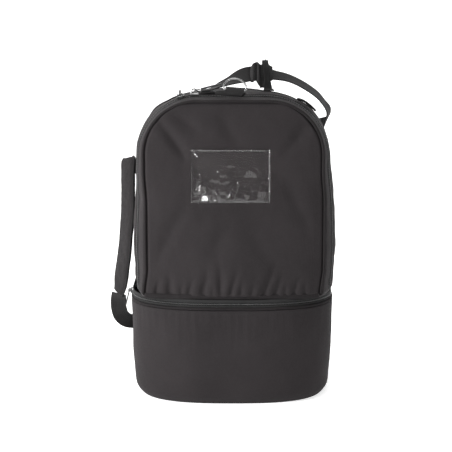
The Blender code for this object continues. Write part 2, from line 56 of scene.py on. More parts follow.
# Shoe compartment
BASE_HALF_FOOT, BASE_HALF_RIM = 149.0, 154.5
BASE_FRONT, BASE_BACK = 100.0, 96.0
BASE_HEIGHT = 146.0
FOOT_ROUND, FOOT_TUCK = 18.0, 9.0
REAR_CORNER = 0.128  # share of the plan's length from its back centre to the edge of the back wall
RIM_Z, PIPING_R = 148.3, 2.2
LOW_TAPE_Z, BASE_COIL_Z, HIGH_TAPE_Z = (150.5, 153.2), 154.9, (156.6, 161.6)
ZIP_INSET = 3.0

# Main compartment
DIVIDER_LEVEL, DIVIDER_SAG = 163.2, 2.2
FOOT_Z, TOP_Z = 166.0, 452.0
SIDE_LEVEL, LEAN_TOP = 230.0, 366.0
FOOT_FLARE, TOP_LEAN, CROWN_Z = -4.0, 8.0, 6.0
SWAY, SWAY_TOP, SHOULDER_DROP = 4.2, 1.5, 7.2
FRONT_SEAM_Y, BACK_SEAM_Y = -80.0, 90.0
FRONT_HALF, BACK_HALF, WIDEST_HALF = 131.0, 136.0, 154.0
FRONT_CORNER, WIDEST_CORNER = 78.0, 98.0
SHELL_T = 2.5
PANEL_CROWN = 14.5
STRIP_Y, FRONT_TAPE_Y = (-76.9, -55.2), (-54.8, -50.0)
ZIP_Y = -48.0
REAR_TAPE_Y, GUSSET_Y = (-46.0, -41.2), (-40.8, 86.8)
WINDOW = (-59.0, 55.0, 307.0, 383.0)  # left, right, foot and head of the card pocket
WEBBING, WEBBING_T = 25.0, 1.7


# ================================================================ node groups
def group(name, inputs, outputs):
    """An empty shader group with the given float, colour or vector sockets; returns it and its two ends."""
    tree = bpy.data.node_groups.new(name, "ShaderNodeTree")
    for label, kind, value in inputs:
        socket = tree.interface.new_socket(label, in_out="INPUT", socket_type="NodeSocket" + kind)
        if value is not None:
            socket.default_value = value
    for label, kind in outputs:
        tree.interface.new_socket(label, in_out="OUTPUT", socket_type="NodeSocket" + kind)
    return tree, tree.nodes.new("NodeGroupInput"), tree.nodes.new("NodeGroupOutput")


def add(tree, kind, links=(), **settings):
    """One shader node with its settings; links maps its input names or numbers to sockets or values."""
    node = tree.nodes.new("ShaderNode" + kind)
    for key, value in settings.items():
        setattr(node, key, value)
    for key, value in dict(links).items():
        if isinstance(value, bpy.types.NodeSocket):
            tree.links.new(value, node.inputs[key])
        else:
            node.inputs[key].default_value = value
    return node


def arithmetic(tree, operation, a, b=0.0):
    return add(tree, "Math", {0: a, 1: b}, operation=operation).outputs[0]


def plain_weave():
    """Over-and-under threads in every direction of the cloth; Height is the thread, Fleck the uneven yarn."""
    tree, start, end = group(
        "plain_weave",
        [("Thread", "Float", 0.0009), ("Unevenness", "Float", 0.5)],
        [("Height", "Float"), ("Fleck", "Float")],
    )
    place = add(tree, "TexCoord").outputs["Object"]
    yarn = add(tree, "TexNoise", {"Vector": place, "Scale": 420.0, "Detail": 3.0, "Roughness": 0.6})
    wander = add(tree, "TexNoise", {"Vector": place, "Scale": 60.0, "Detail": 1.0})
    axes = add(tree, "SeparateXYZ", {0: place})
    turn = arithmetic(tree, "DIVIDE", 2 * math.pi, start.outputs["Thread"])
    waves = []
    for axis in range(3):
        bent = arithmetic(tree, "MULTIPLY_ADD", wander.outputs["Fac"], 0.0006)
        tree.nodes[-1].inputs[2].default_value = 0.0
        tree.links.new(axes.outputs[axis], tree.nodes[-1].inputs[2])
        waves.append(arithmetic(tree, "SINE", arithmetic(tree, "MULTIPLY", bent, turn)))
    crossed = arithmetic(tree, "ADD", arithmetic(tree, "ADD", waves[0], waves[1]), waves[2])
    height = arithmetic(tree, "MULTIPLY_ADD", crossed, 0.17)
    tree.nodes[-1].inputs[2].default_value = 0.5
    uneven = arithmetic(tree, "MULTIPLY", yarn.outputs["Fac"], start.outputs["Unevenness"])
    tree.links.new(arithmetic(tree, "ADD", height, uneven), end.inputs["Height"])
    tree.links.new(yarn.outputs["Fac"], end.inputs["Fleck"])
    return tree


def webbing_ribs():
    """Ribs across a strap and two ridges along it, laid out in the strap's own metres: U across, V along."""
    tree, start, end = group(
        "webbing_ribs",
        [("Rib", "Float", 0.0013), ("Cord", "Float", 0.0022)],
        [("Height", "Float"), ("Gap", "Float")],
    )
    place = add(tree, "TexCoord").outputs["UV"]
    axes = add(tree, "SeparateXYZ", {0: place})
    across = arithmetic(tree, "DIVIDE", arithmetic(tree, "MULTIPLY", axes.outputs[0], 2 * math.pi),
        start.outputs["Cord"])
    along = arithmetic(tree, "DIVIDE", arithmetic(tree, "MULTIPLY", axes.outputs[1], 2 * math.pi),
        start.outputs["Rib"])
    cords = arithmetic(tree, "SINE", across)
    offset = arithmetic(tree, "MULTIPLY", cords, 1.2)
    ribs = arithmetic(tree, "SINE", arithmetic(tree, "ADD", along, offset))
    height = arithmetic(tree, "ADD", arithmetic(tree, "MULTIPLY", ribs, 0.3),
        arithmetic(tree, "MULTIPLY", cords, 0.2))
    raised = arithmetic(tree, "ADD", height, 0.5)
    tree.links.new(raised, end.inputs["Height"])
    low = add(tree, "MapRange", {"Value": raised, "From Min": 0.0, "From Max": 0.45, "To Min": 1.0,
        "To Max": 0.0})
    tree.links.new(low.outputs[0], end.inputs["Gap"])
    return tree


def handling():
    """Broad uneven tone from use, fine lint, and dust that settles on upward faces."""
    tree, start, end = group(
        "handling",
        [("Dark", "Color", (0.02, 0.02, 0.02, 1)), ("Light", "Color", (0.04, 0.04, 0.04, 1)),
         ("Dust", "Float", 0.1), ("Lint", "Float", 0.3)],
        [("Colour", "Color"), ("Tone", "Float"), ("Dustiness", "Float")],
    )
    place = add(tree, "TexCoord").outputs["Object"]
    broad = add(tree, "TexNoise", {"Vector": place, "Scale": 9.0, "Detail": 3.0, "Roughness": 0.55})
    speck = add(tree, "TexNoise", {"Vector": place, "Scale": 900.0, "Detail": 2.0, "Roughness": 0.7})
    tone = add(tree, "MapRange", {"Value": broad.outputs["Fac"], "From Min": 0.32,
        "From Max": 0.68}).outputs[0]
    lint = add(tree, "MapRange", {"Value": speck.outputs["Fac"], "From Min": 0.35,
        "From Max": 0.75}).outputs[0]
    mixed = arithmetic(tree, "MULTIPLY_ADD", lint, start.outputs["Lint"])
    tree.links.new(tone, tree.nodes[-1].inputs[2])
    base = add(tree, "Mix", {"Factor": mixed, "A": start.outputs["Dark"], "B": start.outputs["Light"]},
        data_type="RGBA")
    facing = add(tree, "SeparateXYZ", {0: add(tree, "NewGeometry").outputs["Normal"]}).outputs[2]
    lying = add(tree, "MapRange", {"Value": facing, "From Min": 0.35, "From Max": 1.0}).outputs[0]
    patchy = arithmetic(tree, "MULTIPLY", lying, tone)
    dusty = arithmetic(tree, "MULTIPLY", patchy, start.outputs["Dust"])
    tree.links.new(base.outputs[2], end.inputs["Colour"])
    tree.links.new(tone, end.inputs["Tone"])
    tree.links.new(dusty, end.inputs["Dustiness"])
    return tree


def rubbed_metal():
    """Plated metal with fine rub marks and dull patches."""
    tree, start, end = group(
        "rubbed_metal",
        [("Bright", "Color", (0.7, 0.7, 0.7, 1)), ("Dull", "Color", (0.4, 0.4, 0.4, 1)),
         ("Smooth", "Float", 0.2), ("Rough", "Float", 0.4)],
        [("Colour", "Color"), ("Roughness", "Float"), ("Height", "Float")],
    )
    place = add(tree, "TexCoord").outputs["Object"]
    marks = add(tree, "TexNoise", {"Vector": place, "Scale": 1400.0, "Detail": 2.0})
    patches = add(tree, "TexNoise", {"Vector": place, "Scale": 180.0, "Detail": 4.0, "Roughness": 0.65})
    wear = add(tree, "MapRange", {"Value": patches.outputs["Fac"], "From Min": 0.4,
        "From Max": 0.62}).outputs[0]
    colour = add(tree, "Mix", {"Factor": wear, "A": start.outputs["Bright"], "B": start.outputs["Dull"]},
        data_type="RGBA")
    rough = add(tree, "MapRange", {"Value": wear, "To Min": start.outputs["Smooth"],
        "To Max": start.outputs["Rough"]})
    tree.links.new(colour.outputs[2], end.inputs["Colour"])
    tree.links.new(rough.outputs[0], end.inputs["Roughness"])
    tree.links.new(marks.outputs["Fac"], end.inputs["Height"])
    return tree


WEAVE, RIBS, HANDLING, METAL = plain_weave(), webbing_ribs(), handling(), rubbed_metal()


# ================================================================ finishes
def use(tree, made, **values):
    """Places a group in a material with its own values."""
    node = tree.nodes.new("ShaderNodeGroup")
    node.node_tree = made
    for key, value in values.items():
        node.inputs[key].default_value = value
    return node


def finish(name, **sockets):
    """A material whose Principled shader holds the values that are the same all over it."""
    made = bpy.data.materials.new(name)
    made.use_nodes = True
    shader = made.node_tree.nodes["Principled BSDF"]
    for key, value in sockets.items():
        shader.inputs[key.replace("_", " ")].default_value = value
    return made, made.node_tree, shader


def grey(level, warm=0.0):
    return (level * (1 + warm), level, level * (1 + warm / 3), 1)


def cloth_finish(name, dark, light, thread=0.0010, depth=0.25, rough=(0.72, 0.9), warm=0.17, sheen=0.01,
        lint=0.35):
    made, tree, shader = finish(name, Sheen_Weight=sheen, Sheen_Roughness=0.45, Specular_IOR_Level=0.14)
    weave = use(tree, WEAVE, Thread=thread, Unevenness=0.6)
    tone = use(tree, HANDLING, Dark=grey(dark, warm), Light=grey(light, warm), Dust=0.25, Lint=lint)
    dust = add(tree, "Mix", {"Factor": tone.outputs["Dustiness"], "A": tone.outputs["Colour"],
        "B": grey(light * 2.2)}, data_type="RGBA")
    tree.links.new(dust.outputs[2], shader.inputs["Base Color"])
    rough = add(tree, "MapRange", {"Value": weave.outputs["Fleck"], "From Min": 0.3, "From Max": 0.7,
        "To Min": rough[0], "To Max": rough[1]})
    tree.links.new(rough.outputs[0], shader.inputs["Roughness"])
    bump = add(tree, "Bump", {"Strength": depth, "Distance": 0.0004, "Height": weave.outputs["Height"]})
    tree.links.new(bump.outputs[0], shader.inputs["Normal"])
    return made


def webbing_finish(name, dark, light, rib=0.0013, depth=0.5):
    made, tree, shader = finish(name, Sheen_Weight=0.02, Sheen_Roughness=0.5, Specular_IOR_Level=0.14)
    ribs = use(tree, RIBS, Rib=rib, Cord=0.0024)
    tone = use(tree, HANDLING, Dark=grey(dark, 0.04), Light=grey(light, 0.04), Dust=0.2, Lint=0.3)
    # Painted shade: the colour darkens in the gaps between the ribs.
    rib_gap_shade = add(tree, "Mix", {"Factor": arithmetic(tree, "MULTIPLY", ribs.outputs["Gap"], 0.6),
        "A": tone.outputs["Colour"], "B": grey(dark * 0.4)}, data_type="RGBA")
    tree.links.new(rib_gap_shade.outputs[2], shader.inputs["Base Color"])
    rough = add(tree, "MapRange", {"Value": ribs.outputs["Gap"], "To Min": 0.66, "To Max": 0.9})
    tree.links.new(rough.outputs[0], shader.inputs["Roughness"])
    bump = add(tree, "Bump", {"Strength": depth, "Distance": 0.0005, "Height": ribs.outputs["Height"]})
    tree.links.new(bump.outputs[0], shader.inputs["Normal"])
    return made


def metal_finish(name, bright, dull, smooth, rough):
    made, tree, shader = finish(name, Metallic=1.0)
    plated = use(tree, METAL, Bright=grey(bright), Dull=grey(dull), Smooth=smooth, Rough=rough)
    tree.links.new(plated.outputs["Colour"], shader.inputs["Base Color"])
    tree.links.new(plated.outputs["Roughness"], shader.inputs["Roughness"])
    bump = add(tree, "Bump", {"Strength": 0.08, "Distance": 0.0002, "Height": plated.outputs["Height"]})
    tree.links.new(bump.outputs[0], shader.inputs["Normal"])
    return made


def moulded_finish(name, dark, light, rough=(0.38, 0.55)):
    """Moulded nylon or rubber: a faint pebble, finger-polished patches."""
    made, tree, shader = finish(name, Specular_IOR_Level=0.5)
    tone = use(tree, HANDLING, Dark=grey(dark), Light=grey(light), Dust=0.1, Lint=0.15)
    tree.links.new(tone.outputs["Colour"], shader.inputs["Base Color"])
    polish = add(tree, "MapRange", {"Value": tone.outputs["Tone"], "To Min": rough[0], "To Max": rough[1]})
    tree.links.new(polish.outputs[0], shader.inputs["Roughness"])
    place = add(tree, "TexCoord").outputs["Object"]
    pebble = add(tree, "TexVoronoi", {"Vector": place, "Scale": 1500.0})
    bump = add(tree, "Bump", {"Strength": 0.1, "Distance": 0.0002, "Height": pebble.outputs["Distance"]})
    tree.links.new(bump.outputs[0], shader.inputs["Normal"])
    return made


def vinyl_finish():
    """Clear soft film: faint scuffs, ripples, and shadows that let the light through."""
    made, tree, shader = finish("clear_vinyl", Transmission_Weight=1.0, IOR=1.36)
    place = add(tree, "TexCoord").outputs["Object"]
    scuffs = add(tree, "TexNoise", {"Vector": place, "Scale": 260.0, "Detail": 5.0, "Roughness": 0.7})
    rough = add(tree, "MapRange", {"Value": scuffs.outputs["Fac"], "From Min": 0.45, "From Max": 0.75,
        "To Min": 0.04, "To Max": 0.2})
    tree.links.new(rough.outputs[0], shader.inputs["Roughness"])
    colour = add(tree, "Mix", {"Factor": scuffs.outputs["Fac"], "A": (0.96, 0.96, 0.95, 1),
        "B": (0.88, 0.88, 0.87, 1)}, data_type="RGBA")
    tree.links.new(colour.outputs[2], shader.inputs["Base Color"])
    ripples = add(tree, "TexNoise", {"Vector": place, "Scale": 38.0, "Detail": 2.0})
    bump = add(tree, "Bump", {"Strength": 0.25, "Distance": 0.002, "Height": ripples.outputs["Fac"]})
    tree.links.new(bump.outputs[0], shader.inputs["Normal"])
    through = add(tree, "BsdfTransparent", {"Color": (0.9, 0.9, 0.9, 1)})
    mixed = add(tree, "MixShader", {0: add(tree, "LightPath").outputs["Is Shadow Ray"],
        1: shader.outputs[0], 2: through.outputs[0]})
    tree.links.new(mixed.outputs[0], tree.nodes["Material Output"].inputs["Surface"])
    return made


SHELL_CLOTH = cloth_finish("black_oxford_cloth", 0.0125, 0.0165)
PIPING_CLOTH = cloth_finish("piping_cloth", 0.007, 0.012, thread=0.0008, depth=0.2, lint=0.3)
TAPE_CLOTH = cloth_finish("zip_tape", 0.012, 0.022, thread=0.0007, depth=0.35, warm=0.0)
LINING = cloth_finish("black_lining", 0.016, 0.026, thread=0.0006, depth=0.15, rough=(0.5, 0.7), sheen=0.0)
PAD_CLOTH = cloth_finish("pad_cloth", 0.006, 0.010, thread=0.0012, depth=0.35)
THREAD = cloth_finish("sewing_thread", 0.014, 0.030, thread=0.0005, depth=0.3, warm=0.0)
WEB = webbing_finish("black_webbing", 0.014, 0.024)
# A darker copy of the black webbing: painted shade on the haul loop's legs, its crease and the side tab.
SHADED_WEB = webbing_finish("loop_webbing", 0.004, 0.008, rib=0.0016, depth=0.7)
# Edge binding darker than the pad cloth: its own colour with painted shade added, used along the shoulder
# pad's edges and for the dark sheet on its bag side.
SHADED_BINDING = webbing_finish("edge_binding_painted_shade", 0.005, 0.010, rib=0.0010)
NICKEL = metal_finish("nickel_wire", 0.42, 0.24, 0.22, 0.4)
GUNMETAL = metal_finish("gunmetal_plate", 0.10, 0.045, 0.16, 0.38)
TEETH = moulded_finish("nylon_teeth", 0.010, 0.022, (0.3, 0.45))
PULL = moulded_finish("moulded_pull", 0.012, 0.028)
BOARD = cloth_finish("grey_board", 0.10, 0.16, thread=0.002, depth=0.15, warm=0.0, sheen=0.0)
VINYL = vinyl_finish()


# ================================================================ making pieces
def made_piece(name, points, faces, finishes, strap_uv=None):
    """A smooth mesh piece from points in millimetres; strap_uv gives each point its place on a strap."""
    data = bpy.data.meshes.new(name)
    data.from_pydata((np.asarray(points, float) * MM).tolist(), [], faces)
    for one in finishes:
        data.materials.append(one)
    data.shade_smooth()
    if strap_uv is not None:
        layer = data.uv_layers.new(name="strap")
        for loop in data.loops:
            layer.data[loop.index].uv = [c * MM for c in strap_uv[loop.vertex_index]]
    obj = bpy.data.objects.new(name, data)
    bpy.context.scene.collection.objects.link(obj)
    return obj


def face_outward(obj):
    """Turns the faces of each closed part of a piece outwards."""
    build = bmesh.new()
    build.from_mesh(obj.data)
    bmesh.ops.recalc_face_normals(build, faces=build.faces)
    build.to_mesh(obj.data)
    build.free()


def quads(rows, columns, around=False):
    """Faces of a grid; around joins its last column to the first."""
    faces = []
    for r in range(rows - 1):
        for c in range(columns if around else columns - 1):
            d = (c + 1) % columns
            faces.append((r * columns + c, r * columns + d, (r + 1) * columns + d, (r + 1) * columns + c))
    return faces


def thicken(obj, thickness, offset=0.0, inner=None):
    """Gives a sheet its real thickness; the inner side can have its own finish."""
    solid = obj.modifiers.new("thickness", "SOLIDIFY")
    solid.thickness = thickness * MM
    solid.offset = offset
    solid.use_even_offset = True
    if inner is not None:
        solid.material_offset = inner
    return obj


def sheet_piece(name, rows, thickness, finishes, offset=0.0, around=False, inner=None):
    rows = np.asarray(rows, float)
    obj = made_piece(name, rows.reshape(-1, 3), quads(rows.shape[0], rows.shape[1], around), finishes)
    return thicken(obj, thickness, offset, inner)


def bead(name, points, radius, finish_used, closed=False, sides=5):
    """A round piping, wire or rib along the points."""
    curve = bpy.data.curves.new(name, "CURVE")
    curve.dimensions = "3D"
    spline = curve.splines.new("POLY")
    spline.points.add(len(points) - 1)
    for point, target in zip(spline.points, points):
        point.co = (*(Vector(target) * MM), 1)
    spline.use_cyclic_u = closed
    curve.bevel_depth = radius * MM
    curve.bevel_resolution = sides
    curve.use_fill_caps = not closed
    curve.materials.append(finish_used)
    obj = bpy.data.objects.new(name, curve)
    bpy.context.scene.collection.objects.link(obj)
    return obj


def on_body(obj, body, stands_for=()):
    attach(obj, body)
    if stands_for:
        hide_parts(*stands_for)
    return obj


def spread(low, high, count):
    return np.linspace(low, high, count)


def ease(x, low=0.0, high=1.0):
    x = min(1.0, max(0.0, (x - low) / (high - low)))
    return x * x * (3 - 2 * x)


def lumps(x, y, z, size, seed=0.0):
    """Smooth unevenness from -1 to 1, with hollows about the given size in millimetres."""
    return noise.noise(Vector((x / size + seed, y / size - 2 * seed, z / size + 3 * seed)))


def smooth_path(points, steps):
    """Catmull-Rom curve through the points."""
    points = [Vector(p) for p in points]
    ends = [points[0] * 2 - points[1], *points, points[-1] * 2 - points[-2]]
    path = []
    for a, b, c, d in zip(ends, ends[1:], ends[2:], ends[3:]):
        for step in range(steps):
            t = step / steps
            path.append(0.5 * (2 * b + (c - a) * t + (2 * a - 5 * b + 4 * c - d) * t**2
                + (3 * b - a - 3 * c + d) * t**3))
    return path + [points[-1]]


def strap_frames(route, steps):
    """Centre, width direction and face direction along a strap's route."""
    centres = smooth_path([c for c, _ in route], steps)
    leans = smooth_path([a for _, a in route], steps)
    frames = []
    for i, (centre, lean) in enumerate(zip(centres, leans)):
        ahead = (centres[min(i + 1, len(centres) - 1)] - centres[max(i - 1, 0)]).normalized()
        across = (lean - ahead * lean.dot(ahead)).normalized()
        frames.append((centre, across, across.cross(ahead), ahead))
    return frames


def loft(name, frames, profile, finish_used):
    """Sweeps a closed cross-section along frames: profile gives its (across, out) points at a share along."""
    points, uv, travelled, last = [], [], 0.0, None
    count = len(profile(0.0))
    for i, (centre, across, out, _) in enumerate(frames):
        if last is not None:
            travelled += (centre - last).length
        last = centre
        for a, o in profile(i / (len(frames) - 1)):
            points.append(centre + across * a + out * o)
            uv.append((a, travelled))
    faces = quads(len(frames), count, around=True)
    faces.append(tuple(range(count)))
    faces.append(tuple(reversed(range(len(points) - count, len(points)))))
    obj = made_piece(name, points, faces, [finish_used], uv)
    face_outward(obj)
    return obj


def strap_section(width, thickness, selvedge=0.35):
    """A woven strap's cross-section: flat faces, rounded and slightly thicker edges."""
    half, t = width / 2, thickness / 2
    right = [(half - 1.6, t), (half - 0.7, t + selvedge * 0.4), (half - 0.15, t * 0.6), (half, 0)]
    lower = [(x, -y) for x, y in reversed(right[:-1])]
    side = [(0.0, t * 0.92), *right, *lower, (0.0, -t * 0.92)]
    return side + [(-x, y) for x, y in reversed(side[1:-1])]


def strap(name, route, width, thickness, finish_used=None, steps=8):
    """A webbing strap; its width may be a function of the share along it."""
    wide = width if callable(width) else lambda share: width
    return loft(name, strap_frames(route, steps), lambda share: strap_section(wide(share), thickness),
        finish_used or WEB)


def stitches(name, path, outward, pitch=3.0, length=2.1, size=0.42):
    """A row of thread beads along the path, lying on the cloth; outward gives the cloth's face direction."""
    path = [Vector(p) for p in path]
    steps = [0.0]
    for a, b in zip(path, path[1:]):
        steps.append(steps[-1] + (b - a).length)
    points, faces = [], []
    ring = 5
    for k in range(int(steps[-1] / pitch)):
        ends = []
        for at in (k * pitch + (pitch - length) / 2, k * pitch + (pitch + length) / 2):
            i = min(len(path) - 2, max(0, int(np.searchsorted(steps, at)) - 1))
            share = (at - steps[i]) / max(1e-9, steps[i + 1] - steps[i])
            ends.append((path[i].lerp(path[i + 1], share),
                Vector(outward[i]).lerp(Vector(outward[i + 1]), share).normalized()))
        (a, up_a), (b, up_b) = ends
        ahead = (b - a).normalized()
        up = ((up_a + up_b) / 2).normalized()
        side = ahead.cross(up).normalized()
        first = len(points)
        for share, girth, lift in ((0.0, 0.45, -0.25), (0.25, 1.0, 0.2), (0.75, 1.0, 0.2),
                (1.0, 0.45, -0.25)):
            centre = a.lerp(b, share) + up * lift * size
            for j in range(ring):
                turn = 2 * math.pi * j / ring
                points.append(centre + (side * math.cos(turn) + up * math.sin(turn)) * size * girth)
        for r in range(3):
            for j in range(ring):
                q = (j + 1) % ring
                faces.append((first + r * ring + j, first + r * ring + q, first + (r + 1) * ring + q,
                    first + (r + 1) * ring + j))
        faces.append(tuple(first + j for j in reversed(range(ring))))
        faces.append(tuple(first + 3 * ring + j for j in range(ring)))
    return made_piece(name, points, faces, [THREAD])


def along_surface(surface, track, lift=0.3, flip=1.0):
    """Points a little above a surface, and its face directions, along a track of (u, v)."""
    points, normals = [], []
    for u, v in track:
        p = Vector(surface(u, v))
        du = Vector(surface(u + 1e-3, v)) - p
        dv = Vector(surface(u, v + 1e-1)) - p
        n = du.cross(dv).normalized() * flip
        points.append(p + n * lift)
        normals.append(n)
    return points, normals


def sewn_row(name, surface, track, body, lift=0.3, flip=1.0, slot="fabric", **gauge):
    points, normals = along_surface(surface, track, lift, flip)
    return on_body(stitches(name, points, normals, **gauge), body)


def coil(name, path, outward, pitch=1.9, half=2.5, body=None, stands_for=()):
    """A closed nylon coil: interlocked teeth, each a small bent bar across the chain."""
    path = [Vector(p) for p in path]
    steps = [0.0]
    for a, b in zip(path, path[1:]):
        steps.append(steps[-1] + (b - a).length)
    points, faces = [], []
    for k in range(int(steps[-1] / pitch)):
        at = (k + 0.5) * pitch
        i = min(len(path) - 2, max(0, int(np.searchsorted(steps, at)) - 1))
        share = (at - steps[i]) / max(1e-9, steps[i + 1] - steps[i])
        centre = path[i].lerp(path[i + 1], share)
        ahead = (path[i + 1] - path[i]).normalized()
        up = Vector(outward[i]).normalized()
        side = ahead.cross(up).normalized() * (1 if k % 2 else -1)
        first = len(points)
        thick = pitch * 0.34
        section = (
            (-half, -0.5, thick * 0.8), (-half * 0.8, 0.7, thick), (0.0, 1.15, thick * 1.15),
            (half * 0.45, 0.7, thick * 1.3), (half * 0.6, 0.0, thick * 0.8),
        )
        for a, o, t in section:
            for sign in (-1, 1):
                points.append(centre + side * a + up * (o + 0.15) + ahead * t * sign)
                points.append(centre + side * a + up * (o - 0.75) + ahead * t * sign)
        for r in range(len(section) - 1):
            p = first + 4 * r
            for q, s in ((0, 1), (1, 3), (3, 2), (2, 0)):
                faces.append((p + q, p + s, p + 4 + s, p + 4 + q))
        faces.append((first, first + 2, first + 3, first + 1))
        last = first + 4 * (len(section) - 1)
        faces.append((last, last + 1, last + 3, last + 2))
    obj = made_piece(name, points, faces, [TEETH])
    face_outward(obj)
    return on_body(obj, body, stands_for)


# ================================================================ the bag's surfaces
def plan_points(shares, half, front, back):
    """The base's plan from its back centre round by the left: bowed front, squared back."""
    angle = math.pi / 2 + np.linspace(0, 2 * math.pi, 1441)
    cosine, sine = np.cos(angle), np.sin(angle)
    power = np.where(sine < 0, 2 / 2.7, 2 / 7)
    depth = np.where(sine < 0, front, back)
    x = np.sign(cosine) * half * np.abs(cosine) ** power
    y = np.sign(sine) * depth * np.abs(sine) ** power
    length = np.concatenate([[0], np.cumsum(np.hypot(np.diff(x), np.diff(y)))])
    length /= length[-1]
    shares = np.asarray(shares) % 1
    return np.stack([np.interp(shares, length, x), np.interp(shares, length, y)], -1)


def base_point(share, z, inset=0.0):
    """A point on the shoe compartment's cloth, rolled under at the foot, slack between its seams."""
    level = min(max(z, 0.0), BASE_HEIGHT)
    half = BASE_HALF_FOOT + (BASE_HALF_RIM - BASE_HALF_FOOT) * level / BASE_HEIGHT
    tuck = FOOT_TUCK * max(0.0, 1 - level / FOOT_ROUND) ** 2 + inset
    (x, y), (x2, y2) = plan_points([share, share + 2e-3], half - tuck, BASE_FRONT - tuck, BASE_BACK - tuck)
    out = Vector((y2 - y, -(x2 - x), 0)).normalized()
    if out.dot(Vector((x, y, 0))) < 0:
        out = -out
    middle = math.sin(math.pi * min(1.0, level / BASE_HEIGHT)) ** 0.8
    upper = ease(level, 62, 138) * (1 - ease(level, 141, 146) * 0.55)
    slack = 1.9 * lumps(x, y, z * 1.3, 70, 3.1) + 0.8 * lumps(x, y, z, 28, 7.7)
    pleats = lumps(share * 2600, 5.0, z * 0.16, 15, 1.3) + 0.6 * lumps(share * 2600, 9.0, z * 0.2, 8, 4.3)
    front = 1.0 if y < -20 else 0.55
    rear = 0.3 if abs((share + 0.5) % 1 - 0.5) < REAR_CORNER else 1.0
    push = (middle * slack + 0.7 * front * upper * pleats) * rear + 0.8 * middle * rear - 0.5
    return Vector((x, y, z)) + out * push


def side_lean(z):
    """The bulging sides draw in towards the foot and towards the top."""
    low = max(0.0, (SIDE_LEVEL - z) / (SIDE_LEVEL - FOOT_Z)) ** 1.2
    return FOOT_FLARE * low - TOP_LEAN * ease(z, SIDE_LEVEL - 10, LEAN_TOP + 10)


def swell(y):
    """0 at either seam of the gusset and 1 midway."""
    share = min(1.0, max(0.0, (y - FRONT_SEAM_Y) / (BACK_SEAM_Y - FRONT_SEAM_Y)))
    return math.sin(math.pi * share) ** 0.7


def sway(y, z):
    """Sideways shift of the full compartment; its front and back seams stay put at the foot."""
    rising = ease(z, FOOT_Z, FOOT_Z + 40)
    return SWAY * (rising + (1 - rising) * swell(y)) + (SWAY_TOP - SWAY) * ease(z, 300, 352)


def settled(x, y, z):
    """A point of the main compartment after its sway and the slope of its shoulders."""
    slope = ease(abs(x), 10, 85) * (1 - ease(abs(x), 98, 130)) * ease(z, 380, 430)
    return Vector((x + sway(y, z), y, z - SHOULDER_DROP * ease(y, -36, 90) * slope))


def gusset_size(y, inset=0.0):
    """Half width, top and corner radius of the gusset's arch at a depth."""
    share = (y - FRONT_SEAM_Y) / (BACK_SEAM_Y - FRONT_SEAM_Y)
    seam = FRONT_HALF + (BACK_HALF - FRONT_HALF) * share
    half = seam + (WIDEST_HALF - (FRONT_HALF + BACK_HALF) / 2) * swell(y)
    corner = FRONT_CORNER + (WIDEST_CORNER - FRONT_CORNER) * swell(y)
    return half - inset, TOP_Z + CROWN_Z * swell(y) - inset, corner - inset


def arch_point(along, half, top, corner, foot, lean=0.0):
    """A point on a round-topped arch: along is 0 at its left foot and 1 at its right foot."""
    mirrored = along > 0.5
    a = (1 - along if mirrored else along) * 2
    if a < 0.56:
        x, z = -half, foot + (top - corner - foot) * a / 0.56
    elif a < 0.86:
        angle = math.pi - (a - 0.56) / 0.30 * math.pi / 2
        x, z = corner - half + corner * math.cos(angle), top - corner + corner * math.sin(angle)
    else:
        x, z = (corner - half) * (1 - (a - 0.86) / 0.14), top
    x -= lean * side_lean(z) * min(1.0, abs(x) / 30)
    return (-x if mirrored else x), z


def gusset_out(along):
    """The direction straight out of the arch, in x and z."""
    mirrored = along > 0.5
    a = (1 - along if mirrored else along) * 2
    angle = math.pi if a < 0.56 else math.pi - min(1.0, (a - 0.56) / 0.30) * math.pi / 2
    x, z = math.cos(angle), math.sin(angle)
    return (-x if mirrored else x), z


def gusset_point(along, y, inset=0.0, slack=1.0, foot=FOOT_Z):
    """A point on the main compartment's gusset, with the give that the cloth has between its seams."""
    x, z = arch_point(along, *gusset_size(y, inset), foot, swell(y))
    ox, oz = gusset_out(along)
    free = ease(y, GUSSET_Y[0] + 1, GUSSET_Y[0] + 26) * (1 - ease(y, GUSSET_Y[1] - 24, GUSSET_Y[1] - 1))
    low = 1 - ease(z, FOOT_Z, FOOT_Z + 12)
    give = 2.0 * lumps(x, y, z, 62, 2.4) + 0.9 * lumps(x, y * 0.7, z * 1.6, 26, 9.1)
    creases = lumps(x * 0.3, y * 0.35, z * 1.4, 17, 5.5) * (1 - ease(z, FOOT_Z + 20, FOOT_Z + 75))
    push = slack * free * (give + 1.6 * creases) * (1 - 0.8 * low)
    return settled(x + ox * push, y, z + oz * push)


def panel_half(z, half, top, corner):
    if z <= top - corner:
        return half
    return half - corner + math.sqrt(max(0.0, corner**2 - (z - top + corner) ** 2))


def panel_y(share, z):
    """Depth of the crowned front panel: share is -1 to 1 across it."""
    rise = (z - FOOT_Z) / (TOP_Z - FOOT_Z)
    return FRONT_SEAM_Y - PANEL_CROWN * (max(0.0, 1 - share**2)) ** 0.9 * (1 - max(0.0, rise) ** 3)


def inside_window(x, z, margin):
    left, right, low, high = WINDOW
    return ease(min(x - left, right - x, z - low, high - z), -margin, 2.0)


GATHER_DEPTH, GATHER_HEIGHT = 1.8, 1.35  # scale the table of gathers
PANEL_SLACK, CREASE_DEPTH = 1.4, 1.8  # scale the front panel's lumps and folds

